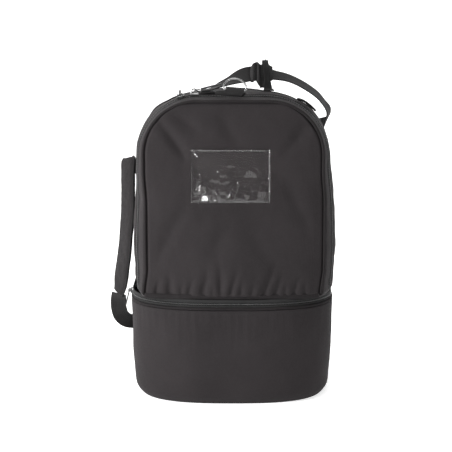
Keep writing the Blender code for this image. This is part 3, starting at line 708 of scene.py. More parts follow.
# Gathers where the panel's foot is eased into its seam: x, height, width, depth and drift per height
GATHERS = (
    (-112, 22, 4.5, 1.5, 0.10), (-91, 34, 6.0, 2.1, -0.15), (-75, 17, 4.0, 1.5, 0.0),
    (-64, 26, 5.0, 1.7, 0.12), (-43, 38, 6.5, 2.2, 0.10), (-28, 20, 4.5, 1.6, -0.10),
    (-16, 52, 6.0, 2.4, -0.14), (-3, 42, 5.5, 2.2, 0.16), (12, 26, 4.5, 1.7, 0.0), (29, 19, 4.5, 1.6, 0.10),
    (45, 48, 6.5, 2.4, 0.28), (62, 34, 6.0, 1.9, 0.22), (78, 18, 4.0, 1.4, 0.0), (90, 30, 5.5, 1.9, 0.20),
    (107, 20, 4.5, 1.5, -0.10),
)


def fold(x, z, at, turn, width, length):
    """A long soft fold or dent of height 1 about a point, its length turned from the x axis."""
    dx, dz = x - at[0], z - at[1]
    c, s = math.cos(math.radians(turn)), math.sin(math.radians(turn))
    return math.exp(-((dx * c + dz * s) / length) ** 2 - ((dz * c - dx * s) / width) ** 2)


def panel_slack(x, z):
    """How far the front panel's cloth stands off its smooth crown, towards the front."""
    edge = ease(min(FRONT_HALF - abs(x), TOP_Z - z), 2, 24)
    foot = ease(z, FOOT_Z - 2, FOOT_Z + 5)
    flat = 1 - 0.85 * inside_window(x, z, 16)
    broad = 1.9 * lumps(x, 0.0, z, 78, 6.2) + 0.7 * lumps(x, 40.0, z, 31, 1.9)
    broad += 0.25 * lumps(x, 10.0, z, 13, 4.0)
    creases = (
        2.8 * fold(x, z, (-88, 398), -52, 7, 34) + 1.8 * fold(x, z, (-66, 420), -38, 9, 30)
        + 1.8 * fold(x, z, (94, 400), 48, 8, 34) + 1.5 * fold(x, z, (-6, 412), -60, 11, 26)
        + 1.3 * fold(x, z, (-92, 262), 62, 10, 60) + 1.5 * fold(x, z, (96, 290), -66, 11, 46)
        + 1.2 * fold(x, z, (-24, 246), 70, 12, 44) + 1.0 * fold(x, z, (40, 236), -58, 12, 40)
    )
    gathers = 0.0
    for at, high, width, deep, drift in GATHERS:
        off = (x - at - drift * (z - FOOT_Z)) / width
        if abs(off) < 3:
            fading = 1 - ease(z, FOOT_Z + 3, FOOT_Z + GATHER_HEIGHT * high)
            ridge = 1.1 * math.exp(-off * off) - 0.45 * math.exp(-(off * off) / 4)
            gathers += GATHER_DEPTH * deep * ridge * fading
    slack = PANEL_SLACK * broad - CREASE_DEPTH * creases
    return edge * flat * slack - foot * gathers * ease(FRONT_HALF - abs(x), 0, 10)


def front_point(share, z, inset=1.2):
    """A point on the front panel's outer cloth."""
    half = panel_half(z, FRONT_HALF - inset, TOP_Z - inset, FRONT_CORNER - inset)
    x = half * share
    rolled = 3.4 * (1 - ease(min(half - abs(x), TOP_Z - inset - z), 0, 5.5))
    y = panel_y(share, z) - SHELL_T / 2 - panel_slack(x, z) + rolled
    return Vector((x + sway(FRONT_SEAM_Y, z), y, z))


# ================================================================ shoe compartment
def close_middle(obj, count):
    """Fills the hole inside a sheet's first ring of points."""
    build = bmesh.new()
    build.from_mesh(obj.data)
    build.verts.ensure_lookup_table()
    build.faces.new([build.verts[i] for i in range(count)])
    bmesh.ops.recalc_face_normals(build, faces=build.faces)
    build.to_mesh(obj.data)
    build.free()
    obj.data.shade_smooth()


def shoe_case():
    columns = 300
    shares = spread(0, 1, columns + 1)[:-1]
    levels = [0.0, 0.8, 2.5, 5, 9, 13, 18, *spread(24, 136, 29), 140, 143, 145.4]
    rows = [[base_point(s, z) for s in shares] for z in levels]
    foot = rows[0]
    underside = []
    for shrink in (0.02, 0.35, 0.7, 0.93):
        underside.append([Vector((p.x * shrink, p.y * shrink, 0.0)) for p in foot])
    for p in foot:
        p.z = 0.0
    obj = sheet_piece("shoe_case_cloth", [*underside, *rows], 3.0, [SHELL_CLOTH, LINING], -1.0, around=True,
        inner=1)
    close_middle(obj, columns)
    on_body(obj, "shoe_base", ["base_floor", "base_wrap_wall", "base_back_wall"])

    span = spread(REAR_CORNER, 1 - REAR_CORNER, 260)
    rim = plan_points(span, BASE_HALF_RIM - PIPING_R, BASE_FRONT - PIPING_R, BASE_BACK - PIPING_R)
    line = [(x, y, RIM_Z - 0.5 + 0.5 * lumps(x, y, 0, 24, 4.4)) for x, y in rim]
    on_body(bead("shoe_case_rim_piping", line, 2.1, PIPING_CLOTH), "shoe_base", ["base_rim_piping"])
    back = spread(-REAR_CORNER, REAR_CORNER, 60)
    rim = plan_points(back, BASE_HALF_RIM - PIPING_R - 0.4, BASE_FRONT, BASE_BACK - PIPING_R - 0.4)
    on_body(bead("shoe_case_back_welt", [(x, y, RIM_Z - 0.9) for x, y in rim], 1.7, PIPING_CLOTH),
        "shoe_base")
    zip_line = plan_points(span, BASE_HALF_RIM - ZIP_INSET, BASE_FRONT - ZIP_INSET, BASE_BACK - ZIP_INSET)
    tape = [[(x, y, z) for x, y in zip_line] for z in spread(LOW_TAPE_Z[0] - 0.9, LOW_TAPE_Z[1], 3)]
    on_body(sheet_piece("shoe_zip_lower_tape", tape, 1.1, [TAPE_CLOTH]), "shoe_base",
        ["base_zip_lower_tape"])
    outward = [Vector((x, y * 1.4, 0)).normalized() for x, y in zip_line]
    coil("shoe_zip_teeth", [(x, y, BASE_COIL_Z) for x, y in zip_line], outward, 1.9, 1.75, "shoe_base",
        ["base_zip_coil"])
    tape = [[(x, y, z) for x, y in zip_line] for z in spread(*HIGH_TAPE_Z, 3)]
    on_body(sheet_piece("shoe_zip_upper_tape", tape, 1.1, [TAPE_CLOTH]), "upper_body",
        ["base_zip_upper_tape"])

    for side, share in (("left", REAR_CORNER + 0.012), ("right", 1 - REAR_CORNER - 0.012)):
        seam = [base_point(share, z) for z in spread(3, 144, 60)]
        on_body(bead(f"shoe_case_{side}_seam", seam, 0.9, PIPING_CLOTH, sides=3), "shoe_base")
        beside = share + (0.006 if side == "left" else -0.006)
        track = [(beside, z) for z in spread(5, 142, 60)]
        sewn_row(f"shoe_case_{side}_seam_stitches", base_point, track, "shoe_base", 0.25, -1)
    track = [(s, 141.0) for s in spread(REAR_CORNER + 0.01, 1 - REAR_CORNER - 0.01, 420)]
    sewn_row("shoe_case_rim_stitches", base_point, track, "shoe_base", 0.25, -1)


# ================================================================ main compartment
def foot_outline(inset):
    """The main compartment's outline at its foot, from the left back corner round by the front."""
    right = [(gusset_size(y)[0] + FOOT_FLARE * swell(y) - inset, y) for y in spread(-74, 82, 26)]
    front = [(s * (FRONT_HALF - inset), panel_y(s, FOOT_Z) + inset * 0.5) for s in spread(-1, 1, 41)]
    left = [(-x, y) for x, y in reversed(right)]
    return [(x + sway(y, FOOT_Z), y) for x, y in left + front + right]


def main_compartment():
    outline = foot_outline(1.2)
    outline += [(x, BACK_SEAM_Y - 1.4) for x in spread(126, -126, 21)]
    rows = []
    for shrink in (0.03, 0.08, 0.15, 0.24, 0.34, 0.45, 0.56, 0.67, 0.77, 0.86, 0.93, 0.97, 1.0):
        sag = DIVIDER_SAG * (1 - shrink**2)
        ring = [(x * shrink, y * shrink) for x, y in outline]
        rows.append([(x, y, DIVIDER_LEVEL - sag + 0.5 * lumps(x, y, 0, 55, 3.3)) for x, y in ring])
    divider = sheet_piece("divider_cloth", rows, 2.0, [LINING, LINING], 0.0, around=True)
    close_middle(divider, len(outline))
    on_body(divider, "upper_body", ["divider_floor"])
    alongs = spread(0, 1, 221)
    depths = [GUSSET_Y[0], -37, -32, *spread(-26, 74, 24), 80, 84, GUSSET_Y[1] + 1.6]
    rows = [[gusset_point(a, y) for a in alongs] for y in depths]
    on_body(sheet_piece("main_gusset_cloth", rows, SHELL_T, [SHELL_CLOTH, LINING], 0.0, inner=1),
        "upper_body", ["main_gusset"])
    tape = [[gusset_point(a, y, 0.2, 0) for a in alongs] for y in spread(*REAR_TAPE_Y, 3)]
    on_body(sheet_piece("main_zip_rear_tape_cloth", tape, 1.2, [TAPE_CLOTH]), "upper_body",
        ["main_zip_rear_tape"])
    alongs = spread(0, 1, 700)
    chain = [gusset_point(a, ZIP_Y, -0.6, 0) for a in alongs]
    outward = [Vector((gusset_out(a)[0], 0, gusset_out(a)[1])) for a in alongs]
    coil("main_zip_teeth", chain, outward, 1.9, 1.75, "upper_body", ["main_zip_coil"])
    span = spread(0, 1, 240)
    arch = [arch_point(a, BACK_HALF + 2.2, TOP_Z + 2.2, FRONT_CORNER, FOOT_Z) for a in span]
    line = [settled(x, BACK_SEAM_Y, z) for x, z in arch]
    on_body(bead("back_piping_cord", line, PIPING_R, PIPING_CLOTH), "upper_body", ["back_piping"])
    lift = SHELL_T / 2 + 0.2
    sewn_row("gusset_zip_stitches", gusset_point, [(a, GUSSET_Y[0] + 3) for a in spread(0.01, 0.99, 420)],
        "upper_body", lift, 1)
    sewn_row("gusset_back_stitches", gusset_point, [(a, GUSSET_Y[1] - 3.5) for a in spread(0.01, 0.99, 420)],
        "upper_body", lift, 1)


def back_pad():
    """The padded back panel, quilted in three channels: a crowned closed form, thin at its sewn edge."""
    half, top, corner = BACK_HALF + 0.6, TOP_Z + 0.6, FRONT_CORNER + 0.6
    arched = [top - corner + corner * math.sin(a) for a in spread(0, math.pi / 2, 22)[1:]]
    levels = [*spread(FOOT_Z, top - corner, 40), *arched]
    points, columns = [], 53

    def swollen(x, z, reach):
        edge = min(reach - abs(x), z - FOOT_Z, top - z)
        crown = ease(edge, -1, 16) ** 0.6
        channel = 1.0
        for line in (-52, 52):
            channel = min(channel, 0.25 + 0.75 * ease(abs(x - line), 0, 12) ** 0.7 if 200 < z < 410 else 1.0)
        return crown * channel

    for side in (1, -1):
        for z in levels:
            reach = panel_half(z, half, top, corner)
            row = []
            for s in spread(-1, 1, columns):
                x = reach * s
                full = swollen(x, z, reach)
                puff = 0.9 + 2.2 * full
                if side > 0:
                    puff = 0.9 + 4.6 * full + 0.5 * full * lumps(x, side * 30, z, 40, 2.0)
                row.append(settled(x, BACK_SEAM_Y, z) + Vector((0, 0.6 + side * puff, 0)))
            points.append(row)
    rows = len(levels)
    flat = [p for row in points for p in row]
    faces = quads(rows, columns)
    faces = [tuple(reversed(f)) for f in faces] + [tuple(i + rows * columns for i in f) for f in faces]
    rim = [r * columns for r in range(rows)] + [(rows - 1) * columns + c for c in range(1, columns)]
    rim += [r * columns + columns - 1 for r in range(rows - 2, -1, -1)] + list(range(columns - 2, 0, -1))
    for a, b in zip(rim, rim[1:] + rim[:1]):
        faces.append((a, b, b + rows * columns, a + rows * columns))
    obj = made_piece("padded_back_panel", flat, faces, [PAD_CLOTH])
    build = bmesh.new()
    build.from_mesh(obj.data)
    bmesh.ops.remove_doubles(build, verts=build.verts, dist=1e-5)
    bmesh.ops.recalc_face_normals(build, faces=build.faces)
    build.to_mesh(obj.data)
    build.free()
    on_body(obj, "upper_body", ["back_panel"])
    for name, x in (("left", -52), ("right", 52)):
        line = [Vector((x + sway(BACK_SEAM_Y, z), 94.0, z)) for z in spread(208, 402, 70)]
        on_body(stitches(f"back_channel_{name}_stitches", line, [Vector((0, 1, 0))] * 70), "upper_body")


# ================================================================ front flap
def front_flap():
    inset = 1.2
    top, corner = TOP_Z - inset, FRONT_CORNER - inset
    arched = [top - corner + corner * math.sin(a) for a in spread(0, math.pi / 2, 26)[1:-1]]
    gathered, upright = spread(FOOT_Z + 0.4, FOOT_Z + 60, 26)[:-1], spread(FOOT_Z + 60, top - corner, 44)
    levels = [*gathered, *upright, *arched, top - 0.05]
    shares = [math.sin(a) for a in spread(-math.pi / 2, math.pi / 2, 161)]
    rows = [[front_point(s, z) + Vector((0, SHELL_T / 2, 0)) for s in shares] for z in levels]
    on_body(sheet_piece("front_panel_cloth", rows, SHELL_T, [SHELL_CLOTH, LINING], 0.0, inner=1),
        "front_flap", ["front_panel"])
    alongs = spread(0, 1, 241)
    line = [gusset_point(a, FRONT_SEAM_Y + 0.5, 0, 0) + Vector((0, 0.4 * lumps(a * 900, 0, 0, 26, 1.1), 0))
        for a in alongs]
    on_body(bead("front_piping_cord", line, PIPING_R, PIPING_CLOTH), "front_flap", ["front_piping"])
    strip = lambda a, y: gusset_point(a, y, 0, 0) + Vector((gusset_out(a)[0], 0, gusset_out(a)[1])) * (
        0.8 * lumps(a * 1100, y, 0, 30, 2.6) * ease(y, -76, -68) * (1 - ease(y, -62, -56)))
    depths = (STRIP_Y[0] - 0.8, -75, -72, -69, -66, -63, -60, -57.5, STRIP_Y[1])
    rows = [[strip(a, y) for a in alongs] for y in depths]
    on_body(sheet_piece("front_gusset_strip_cloth", rows, SHELL_T, [SHELL_CLOTH, LINING], 0.0, inner=1),
        "front_flap", ["front_gusset_strip"])
    tape = [[gusset_point(a, y, 0.2, 0) for a in alongs] for y in spread(*FRONT_TAPE_Y, 3)]
    on_body(sheet_piece("main_zip_front_tape_cloth", tape, 1.2, [TAPE_CLOTH]), "front_flap",
        ["main_zip_front_tape"])
    sewn_row("strip_zip_stitches", strip, [(a, STRIP_Y[1] - 3) for a in spread(0.01, 0.99, 420)],
        "front_flap", SHELL_T / 2 + 0.2, 1)


# Pouches in the film's foot: x, foot height, half width, height, lean, how far they stand out and how far
# each one's face turns to the side
FILM_CREASES = (
    (-40.0, 309.0, 8.5, 19.0, 0.12, 2.9, 0.08), (-25.0, 309.5, 3.6, 19.0, 0.22, 2.9, 0.09),
    (-50.0, 322.0, 5.0, 14.0, 0.35, 1.2, 0.0), (-2.0, 311.0, 6.0, 34.0, 0.45, 1.2, -0.1),
    (30.0, 309.0, 8.0, 26.0, 0.30, 1.2, -0.12),
)


def card_pocket():
    """A clear pocket sewn on the front panel: creased film, stitches round it and narrow welded rims."""
    left, right, low, high = WINDOW
    film = []
    for z in spread(low, high, 115):
        row = []
        for x in spread(left, right, 171):
            inner = ease(min(x - left, right - x, high - z), 1.5, 14) * ease(z - low, 0.5, 3)
            ripple = 0.8 * lumps(x * 0.8 + z * 0.5, 0, z * 0.9 - x * 0.3, 19, 6.6)
            ripple += 0.3 * lumps(x, 8, z, 8, 3.7)
            ripple *= 1 - 0.8 * ease(z, high - 26, high - 8)
            pouch = 0.0
            for at, foot, wide, tall, lean, proud, turned in FILM_CREASES:
                up, aside = (z - foot) / tall, x - at - lean * (z - foot)
                off = abs(aside) / (wide * max(0.05, 1 - up))
                if -0.1 < up < 1 and off < 1:
                    share = ease(up, -0.1, 0.0) * (1 - ease(off, 0.8, 1.0))
                    pouch += share * (proud * (1 - up) + turned * aside)
                    ripple *= 1 - share
            y = panel_y((x - SWAY_TOP) / FRONT_HALF, z) - SHELL_T - 0.75 - inner * (0.9 + ripple) - pouch
            row.append((x, y, z))
        film.append(row)
    obj = sheet_piece("card_window_film", film, 0.45, [VINYL], 0.0)
    on_body(obj, "front_flap", ["card_window"])
    wide, seat = 2.2, SHELL_T + 1.35
    weld = []
    for z in spread(low + 0.5, high - 0.5, 420):
        face = panel_y((right - SWAY_TOP) / FRONT_HALF, z) - seat
        ripple = 0.033 * math.sin(z * 4.6)
        weld.append([(right - wide + c, face - 0.17 * c + ripple, z) for c in spread(0, wide, 4)])
    on_body(sheet_piece("card_window_side_weld", weld, 0.3, [VINYL]), "front_flap")
    tall, seat = 1.8, SHELL_T + 1.1
    weld = []
    for c in spread(0, tall, 4):
        row = []
        for x in spread(left + 0.5, right - 3, 420):
            face = panel_y((x - SWAY_TOP) / FRONT_HALF, high) - seat
            row.append((x, face - 0.085 * (tall - c) + 0.07 * math.sin(x * 1.9), high - tall + c))
        weld.append(row)
    on_body(sheet_piece("card_window_head_weld", weld, 0.3, [VINYL]), "front_flap")
    on_face = lambda x, z: Vector((x, panel_y((x - SWAY_TOP) / FRONT_HALF, z) - SHELL_T - 1.0, z))
    edge = 1.9
    corners = [(left + edge, low + edge), (left + edge, high - edge), (right - edge, high - edge),
        (right - edge, low + edge), (left + edge, low + edge)]
    track = []
    for (x0, z0), (x1, z1) in zip(corners, corners[1:]):
        track += [(x0 + (x1 - x0) * t, z0 + (z1 - z0) * t) for t in spread(0, 1, 40)[:-1]]
    points = [on_face(x, z) for x, z in track]
    on_body(stitches("card_window_stitches", points, [Vector((0, -1, 0))] * len(points), 2.6, 1.9, 0.36),
        "front_flap")

    def grow(x, z):
        out = edge - 0.3
        return (x + math.copysign(out, x - (left + right) / 2), z + math.copysign(out, z - (low + high) / 2))

    rim = []
    for (x0, z0), (x1, z1) in zip(corners, corners[1:]):
        a, b = grow(x0, z0), grow(x1, z1)
        rim += [on_face(a[0] + (b[0] - a[0]) * t, a[1] + (b[1] - a[1]) * t) for t in spread(0, 1, 24)[:-1]]
    on_body(bead("card_window_rim", rim, 0.45, VINYL, closed=True, sides=3), "front_flap")


# ================================================================ fabric across the joints
def hinge_fabric():
    xs = spread(-128, 128, 65)
    rows = [[(x, 95.0 + 1.3 * math.sin(math.pi * (z - 142) / 26) + 0.3 * lumps(x, 0, z, 20, 5), z)
        for x in xs] for z in spread(142, 168, 19)]
    strip = sheet_piece("rear_hinge_cloth", rows, 1.4, [SHELL_CLOTH])
    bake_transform(strip)
    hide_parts("rear_hinge_binding")
    shares = spread(-1, 1, 81)
    rows = []
    for z in spread(161.5, 168.5, 9):
        bowed = 0.4 + 0.9 * math.sin(math.pi * (z - 161.5) / 7)
        rows.append([(s * (FRONT_HALF - 1.5), panel_y(s, FOOT_Z) - bowed, z) for s in shares])
    strip = sheet_piece("flap_hinge_cloth", rows, 1.5, [PIPING_CLOTH])
    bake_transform(strip)


# ================================================================ D-ring
def ring_and_tab():
    at = Vector((4, -66, 467.5))
    tilt = Matrix.Rotation(math.radians(5), 3, "Y")
    lean = Matrix.Rotation(math.radians(-12), 3, "X")
    bow = [Vector((-16.5 * math.cos(a), 0, 3 + 13 * math.sin(a))) for a in spread(0, math.pi, 40)]
    bar = [Vector((x, 0, 0)) for x in spread(15.2, -15.2, 12)]
    outline = [Vector((-16.5, 0, 1.3)), *bow, Vector((16.5, 0, 1.3)), *bar]
    ring = bead("d_ring_wire", [at + tilt @ (lean @ p) for p in outline], 1.45, NICKEL, closed=True, sides=6)
    on_body(ring, "d_ring", ["d_ring"])
    points, faces = [], []
    width, ribs = 40.0, 18
    section = [(-1.5, -9.6), (-1.6, -5), (-1.7, -2), (-3.1, 0.4), (-2.6, 2.6), (0, 3.6), (2.6, 2.6),
        (3.1, 0.4), (1.7, -2), (1.6, -5), (1.5, -9.6)]
    columns = 8 * ribs + 1
    for c in range(columns):
        x = width * (c / (columns - 1) - 0.5)
        swell_rib = 0.35 * abs(math.sin(math.pi * ribs * c / (columns - 1))) ** 0.6
        narrow = ease(abs(x), 13.2, 14.2)
        for y, z in section:
            if z > -2.5:
                z = z * (1 - narrow) - 2.6 * narrow
                y = y * (1 - 0.45 * narrow)
            drawn_in = 8 * ease(-z, 1.5, 5)
            swollen_y = y + math.copysign(swell_rib, y) * (y != 0)
            swollen_z = z + swell_rib * (y == 0) * (1 - narrow)
            points.append(at + tilt @ Vector((x * 0.98 - drawn_in, swollen_y, swollen_z)))
    for c in range(columns - 1):
        for r in range(len(section)):
            q = (r + 1) % len(section)
            n = len(section)
            faces.append((c * n + r, c * n + q, (c + 1) * n + q, (c + 1) * n + r))
    n = len(section)
    faces.append(tuple(range(n)))
    faces.append(tuple((columns - 1) * n + r for r in reversed(range(n))))
    uv = [(p.z - at.z, p.x) for p in points]
    tab = made_piece("d_ring_loop_webbing", points, faces, [WEB], uv)
    face_outward(tab)
    on_body(tab, "front_flap", ["d_ring_tab"])


# ================================================================ webbing
def haul_loop():
    """The loop's legs, and the bunched webbing where it is drawn tight round the sling strap."""
    side = (1, 0, 0)
    route = [
        ((55, -9, 461.4), side), ((54, 0, 463.4), side), ((53, 4, 477), side), ((51, 11, 495), side),
        ((50, 26, 503), side), ((50, 42, 495), side), ((50, 50, 478), side), ((51, 56, 462), side),
        ((51, 65, 459.4), side),
    ]
    # The legs are in the darker webbing: painted shade, though they are the same webbing as the gathers.
    legs = strap("haul_loop_webbing", route, lambda t: 17 - 8 * min(1, 4 * t, 4 * (1 - t)), 2.0, SHADED_WEB, 10)
    on_body(legs, "upper_body", ["haul_loop"])

    # x, lower edge, upper edge, depth of its middle and half thickness of each fold
    folds = np.array([
        (27.0, 473.5, 491.5, 12.0, 1.5), (28.5, 472.5, 495.0, 11.5, 3.6), (31.0, 472.0, 498.6, 11.5, 5.0),
        (33.2, 473.0, 500.4, 12.6, 4.0), (34.6, 474.5, 500.6, 14.6, 1.5), (36.0, 474.5, 501.2, 14.4, 1.6),
        (37.6, 471.5, 501.8, 12.6, 4.6), (40.0, 467.5, 501.0, 12.2, 5.8), (42.2, 465.2, 498.2, 13.0, 4.4),
        (44.2, 464.4, 497.2, 14.6, 4.2), (46.6, 464.0, 500.2, 15.4, 5.0), (49.8, 464.4, 505.4, 16.2, 5.4),
        (52.0, 467.6, 504.4, 16.8, 4.8), (54.2, 472.0, 499.8, 17.4, 4.4), (57.0, 473.4, 496.4, 18.4, 4.6),
        (59.8, 473.8, 495.0, 19.4, 3.6), (61.2, 474.6, 494.0, 20.2, 1.3),
    ])
    stations = spread(folds[0, 0], folds[-1, 0], 70)
    low, high, middle, half = (np.interp(stations, folds[:, 0], folds[:, i]) for i in range(1, 5))
    points, around = [], 44
    for x, foot, head, depth, thick in zip(stations, low, high, middle, half):
        for k in range(around):
            turn = 2 * math.pi * k / around
            up, out = math.cos(turn), math.sin(turn)
            reach = (head - foot) / 2 * math.copysign(abs(up) ** 0.8, up)
            soft = 1 + 0.25 * lumps(x * 0.6, reach * 0.5, out * 9, 7, 3.9)
            bulge = thick * math.copysign(abs(out) ** 0.75, out) * soft
            points.append((x + 0.6 * lumps(x, reach, out * 9, 9, 1.2), depth + 0.62 * reach - 0.78 * bulge,
                (head + foot) / 2 + reach * 0.98 + 0.3 * bulge))
    faces = quads(len(stations), around, around=True)
    faces += [tuple(range(around)), tuple(reversed(range(len(points) - around, len(points))))]
    uv = [(p[2], p[0]) for p in points]
    wrap = made_piece("haul_loop_gathers", points, faces, [WEB], uv)
    on_body(wrap, "upper_body")
    # A dark bead in the crease between the folds: painted shade.
    crease = [(34.9 + 0.3 * math.sin(z), 10.4 + 0.62 * (z - 487), z) for z in spread(475, 499, 14)]
    on_body(bead("haul_loop_crease_shade", crease, 1.5, SHADED_WEB), "upper_body")


def sling():
    route = [
        ((-46, -23, 462.6), (0, 1, 0)), ((-32, -22, 464.2), (0, 1, 0)), ((-20, -17, 468.6), (0, 1, 0.15)),
        ((-9, -10, 472.8), (0, 0.95, 0.3)), ((5, -3, 477.8), (0, 0.85, 0.5)),
        ((23, 10, 483.6), (0, 0.65, 0.75)), ((43, 22, 484.5), (0, 0.72, 0.68)),
        ((69, 28, 480.5), (0, 0.88, 0.45)), ((89, 35, 475), (0.05, 0.93, 0.36)),
        ((112, 44, 463), (0.12, 0.95, 0.3)), ((133, 56, 447), (0.18, 0.96, 0.2)),
        ((147, 70, 428), (0.2, 0.97, 0.1)), ((150.5, 86, 413), (0.35, 0.85, 0.4)),
        ((146, 101, 400), (0.35, 0.45, 0.8)), ((124, 112, 388), (0.1, 0.1, 1)),
        ((88, 115, 371), (0.2, 0, 1)), ((40, 118, 350), (0.2, 0, 1)), ((-10, 119, 331), (0.15, 0, 1)),
        ((-60, 118, 317), (0.1, 0, 1)), ((-104, 115, 312), (0, 0, 1)), ((-136, 105, 318), (-0.3, 0.1, 1)),
        ((-153, 92, 332), (-0.5, -0.3, 0.9)), ((-159, 80, 336), (-0.5, -0.5, 0.8)),
    ]
    on_body(strap("sling_webbing", route, WEBBING, WEBBING_T), "upper_body",
        ["sling_webbing_upper"])
    pad_route = [
        ((-161.3, 60, 350), (0.4, -0.95, -0.1)), ((-161.8, 56, 335), (0.4, -1, 0)),
        ((-162, 51, 318), (0.4, -1, 0.05)), ((-162, 47, 297), (0.4, -1, 0.1)),
        ((-162.5, 43, 268), (0.4, -1, 0)), ((-165.2, 41, 235), (0.37, -1, 0)),
        ((-168.8, 43, 200), (0.38, -1, 0)), ((-174.3, 48, 165), (0.42, -1, 0)),
        ((-180, 57, 134), (0.6, -0.8, 0)),
    ]
    frames = strap_frames(pad_route, 14)

    def pad_width(share):
        return 24 + 34 * min(ease(share, -0.03, 0.035), ease(1 - share, 0, 0.17)) ** 0.8

    def pad_section(share):
        half = pad_width(share) / 2
        thick = 5.2 * ease(min(share, 1 - share), -0.03, 0.07) ** 0.5
        ring = []
        for k in range(40):
            a = 2 * math.pi * k / 40
            c, s = math.cos(a), math.sin(a)
            place = (c * 30, s * 20, share * 260)
            soft = 1 + 0.16 * lumps(*place, 17, 5.1) + 0.08 * lumps(*place, 7, 2.3)
            across = half * math.copysign(abs(c) ** 0.75, c)
            ring.append((across, thick * soft * math.copysign(abs(s) ** 0.7, s)))
        return ring

    pad = loft("shoulder_pad_cushion", frames, pad_section, PAD_CLOTH)
    on_body(pad, "upper_body", ["shoulder_pad"])
    # A dark sheet on the pad's bag side, filling the gap to the bag: painted shade.
    bag_side = [(f[0] + f[2] * math.copysign(3.4, f[2].x), f[1], f[2], f[3]) for f in frames[26:68]]

    def pad_shade_section(share):
        thick = 2.4 * ease(min(share, 1 - share), -0.05, 0.1)
        return [(24 * math.cos(a), thick * math.sin(a)) for a in spread(0, 2 * math.pi, 17)[:-1]]

    lining = loft("shoulder_pad_shade_sheet", bag_side, pad_shade_section, SHADED_BINDING)
    on_body(lining, "upper_body")
    # The bindings use the darkened binding colour: painted shade along the pad's edges.
    for name, sign in (("front", 1), ("rear", -1)):
        reach = [pad_width(i / (len(frames) - 1)) / 2 - 0.4 for i in range(len(frames))]
        edge = [f[0] + f[1] * sign * far for f, far in zip(frames, reach)]
        on_body(bead(f"shoulder_pad_{name}_binding", edge, 1.9, SHADED_BINDING), "upper_body")
    lower = [
        ((-180, 58, 132.5), (0.9, -0.4, 0)), ((-181, 60, 118), (1, 0.1, 0)),
        ((-180.5, 63, 105), (1, 0.1, 0.15)), ((-177, 70, 92), (0.8, 0.1, 0.5)),
        ((-168, 80, 82), (0.5, 0, 0.8)), ((-155, 92, 78), (0.1, 0, 1)), ((-140, 100.5, 76), (0, 0, 1)),
        ((-124, 101, 76), (0, 0, 1)),
    ]
    on_body(strap("sling_webbing_foot", lower, WEBBING, WEBBING_T), "shoe_base",
        ["sling_webbing_lower"])


def side_tab():
    side = (0, 1, 0)
    route = [((97, -22, 450.2), side), ((106, -22, 447.2), side), ((115, -22, 441.2), side),
        ((124, -22, 432.8), side)]
    # Drawn in the darker webbing: painted shade.
    on_body(strap("side_tab_webbing", route, 16, 2.4, SHADED_WEB, 8), "upper_body", ["side_tab"])


# ================================================================ carried-over fittings
def refinish():
    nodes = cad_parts
    looks = {
        "base_board": BOARD, "main_zip_slider_left": GUNMETAL, "main_zip_slider_right": GUNMETAL,
        "base_zip_slider": GUNMETAL, "main_zip_slider_left_pull": PULL,
        "main_zip_slider_right_link": GUNMETAL, "main_zip_slider_right_pull": PULL,
        "base_zip_slider_pull": PULL, "strap_adjuster": GUNMETAL, "strap_landing_patch": WEB,
        "lower_strap_patch": WEB,
    }
    for name, look in looks.items():
        obj = nodes[name]
        obj.data.materials.clear()
        obj.data.materials.append(look)
        if look in (GUNMETAL, PULL):
            edges = obj.modifiers.new("soft edges", "BEVEL")
            edges.width = 0.35 * MM
            edges.segments = 2
            edges.limit_method = "ANGLE"


# ================================================================ stage
LOOKING_DOWN = 11.3  # degrees
FRAME_SIDE = 452  # side of the square frame; the next two are in the same steps
FOCAL, SIDEWAYS = 1300, -6
SENSOR = 36  # mm


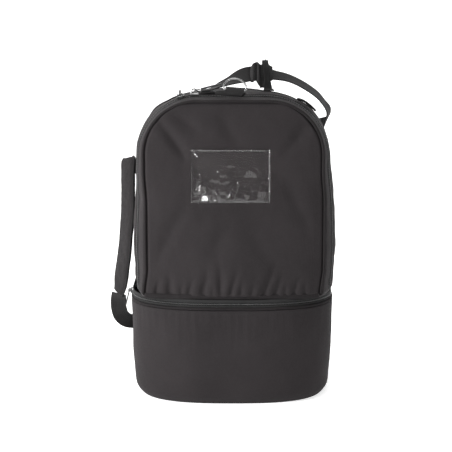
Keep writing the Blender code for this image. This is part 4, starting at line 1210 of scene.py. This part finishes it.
def stage():
    points = []
    front, bend, side, head, radius = -2600, 1700, 3600, 3200, 600
    turns = spread(0.1, math.pi / 2, 12)
    curve = [(bend + radius * math.sin(a), radius - radius * math.cos(a)) for a in turns]
    profile = [(front, 0), (bend, 0), *curve, (bend + radius, head)]
    for y, z in profile:
        points += [(-side, y, z - 0.02), (side, y, z - 0.02)]
    made, tree, shader = finish("studio_paper", Specular_IOR_Level=0.1)
    mottle = add(tree, "TexNoise", {"Vector": add(tree, "TexCoord").outputs["Object"], "Scale": 3.0})
    tone = add(tree, "Mix", {"Factor": mottle.outputs["Fac"], "A": (0.93, 0.93, 0.93, 1),
        "B": (0.9, 0.9, 0.9, 1)}, data_type="RGBA")
    tree.links.new(tone.outputs[2], shader.inputs["Base Color"])
    shader.inputs["Roughness"].default_value = 0.9
    shader.inputs["Emission Color"].default_value = (1, 1, 1, 1)
    shader.inputs["Emission Strength"].default_value = 0.5
    obj = made_piece("studio_sweep", points, quads(len(profile), 2), [made])

    def softbox(name, at, aim, size, power):
        light = bpy.data.lights.new(name, "AREA")
        light.shape = "RECTANGLE"
        light.size, light.size_y = size
        light.energy = power
        lamp = bpy.data.objects.new(name, light)
        bpy.context.scene.collection.objects.link(lamp)
        lamp.location = at
        lamp.rotation_euler = (Vector(aim) - Vector(at)).to_track_quat("-Z", "Y").to_euler()

    softbox("overhead_softbox", (-0.2, -0.1, 2.3), (0, 0.0, 0.2), (1.6, 1.2), 32)
    softbox("left_softbox", (-1.75, -0.85, 0.7), (0, 0, 0.25), (0.3, 0.6), 62)
    softbox("right_softbox", (1.9, -0.55, 1.3), (0, 0, 0.3), (0.5, 0.9), 20)
    softbox("front_flash", (-0.5, -1.9, 0.6), (0, -0.1, 0.345), (0.22, 0.22), 6)
    world = bpy.data.worlds.new("studio_air")
    bpy.context.scene.world = world
    world.use_nodes = True
    tree = world.node_tree
    tree.nodes["Background"].inputs[0].default_value = (1, 1, 1, 1)
    fill = 0.16  # how strongly the air lights the bag; the backdrop itself shows at full strength
    seen = arithmetic(tree, "MULTIPLY_ADD", add(tree, "LightPath").outputs["Is Camera Ray"], 1 - fill)
    seen.node.inputs[2].default_value = fill
    tree.links.new(seen, tree.nodes["Background"].inputs[1])
    bpy.context.scene.view_settings.view_transform = "Standard"
    camera = bpy.data.objects.new("camera", bpy.data.cameras.new("camera"))
    bpy.context.scene.collection.objects.link(camera)
    camera.location = (0, -1.95, 0.643)
    camera.rotation_euler = (math.radians(90 - LOOKING_DOWN), 0, 0)
    camera.data.sensor_width = SENSOR
    camera.data.lens = FOCAL / FRAME_SIDE * SENSOR
    camera.data.shift_x = SIDEWAYS / FRAME_SIDE
    bpy.context.scene.camera = camera


stage()
shoe_case()
main_compartment()
back_pad()
front_flap()
card_pocket()
hinge_fabric()
ring_and_tab()
haul_loop()
sling()
side_tab()
refinish()
